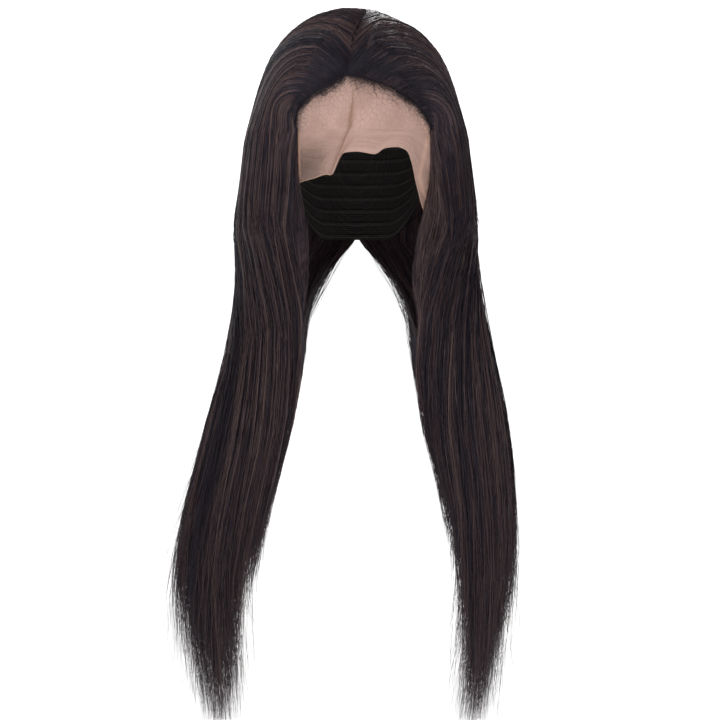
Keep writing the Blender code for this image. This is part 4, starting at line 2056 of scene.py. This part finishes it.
LAMPS = (
    LampRow("top_light", (0.30, 0.95, 1.05), 0.9, 26.0, (0.0, 0.0, -0.05)),
    LampRow("key_light", (-1.3, -2.0, 1.0), 1.5, 30.0, (0.0, 0.0, -0.25)),
    LampRow("fill_light", (1.6, -1.8, 0.3), 1.5, 16.0, (0.0, 0.0, -0.25)),
)


@dataclass
class Studio:
    """The pale sweep, the soft lights and the camera, in metres."""

    distance: float = 2.2
    middle: tuple[float, float] = (0.0027, -0.300)
    view_width: float = 0.648
    sensor: float = 36.0
    floor: float = -0.95
    sweep_width: float = 40.0
    sweep_front: float = -8.0
    sweep_back: float = 7.0
    sweep_radius: float = 2.0
    sweep_height: float = 8.0
    world_light: float = 0.30

    def sweep_point(self, side: float, share: float) -> Vector:
        """A point of the sweep.

        Args:
            side: Its share to the side, from -0.5 to 0.5.
            share: Its share from the front of the floor (0) to the top of the wall (1).

        Returns:
            The point.
        """
        turn = min(max((share - 0.5) * 4, 0.0), 1.0) * math.pi / 2
        flat = min(share * 2, 1.0) * (self.sweep_back - self.sweep_front)
        rise = max((share - 0.75) * 4, 0.0) * self.sweep_height
        return Vector((
            side * self.sweep_width,
            self.sweep_front + flat + self.sweep_radius * math.sin(turn),
            self.floor + self.sweep_radius * (1 - math.cos(turn)) + rise,
        ))

    def sweep(self) -> None:
        """Makes the pale floor, which curves up into a wall behind."""
        material = Paint("studio_white").finish(
            Base_Color=(0.93, 0.93, 0.93, 1.0),
            Roughness=0.9,
            Emission_Color=WHITE,
            Emission_Strength=0.7,
        )
        bm = bmesh.new()
        bmesh.ops.create_grid(bm, x_segments=2, y_segments=60, size=0.5)
        for vertex in bm.verts:
            vertex.co = self.sweep_point(vertex.co.x, vertex.co.y + 0.5)
        to_object("studio_sweep", bm, material)

    @staticmethod
    def light(row: LampRow) -> None:
        """Sets up one soft light.

        Args:
            row: The light.
        """
        lamp = bpy.data.lights.new(row.name, "AREA")
        lamp.size = row.size
        lamp.energy = row.power
        made = bpy.data.objects.new(row.name, lamp)
        made.location = row.place
        way = Vector(row.aim) - Vector(row.place)
        made.rotation_euler = way.to_track_quat("-Z", "Y").to_euler()
        bpy.context.scene.collection.objects.link(made)

    def camera(self) -> None:
        """Sets up the camera, level and straight in front as in the photo."""
        camera = bpy.data.cameras.new("camera")
        camera.sensor_width = self.sensor
        camera.lens = self.sensor * self.distance / self.view_width
        made = bpy.data.objects.new("camera", camera)
        made.location = (self.middle[0], -self.distance, self.middle[1])
        made.rotation_euler = (math.pi / 2, 0.0, 0.0)
        bpy.context.scene.collection.objects.link(made)
        bpy.context.scene.camera = made

    def build(self) -> None:
        """Sets up the stage, the lights, the world and the camera."""
        self.sweep()
        for row in LAMPS:
            self.light(row)
        world = bpy.data.worlds.new("studio_world")
        world.use_nodes = True
        background = world.node_tree.nodes["Background"]
        background.inputs["Color"].default_value = WHITE
        background.inputs["Strength"].default_value = self.world_light
        bpy.context.scene.world = world
        self.camera()
        bpy.context.scene.view_settings.view_transform = "Standard"


def main() -> None:
    """Builds every piece in order and reports it."""
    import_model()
    halves = [HairHalf(side) for side in Side]
    pieces = [WigCap().build(NetFinish()), LaceFront().build(LaceFinish(), halves)]
    for piece in pieces:
        LOG.info("%s: %.4f square metres", piece.name, flat_area(piece))
    for half in halves:
        pieces += half.build(HairFinish())
    Studio().build()
    for piece in pieces:
        faces = sum(len(face.vertices) - 2 for face in piece.data.polygons)
        LOG.info("%s: %d triangles", piece.name, faces)


if __name__ == "__main__":
    main()
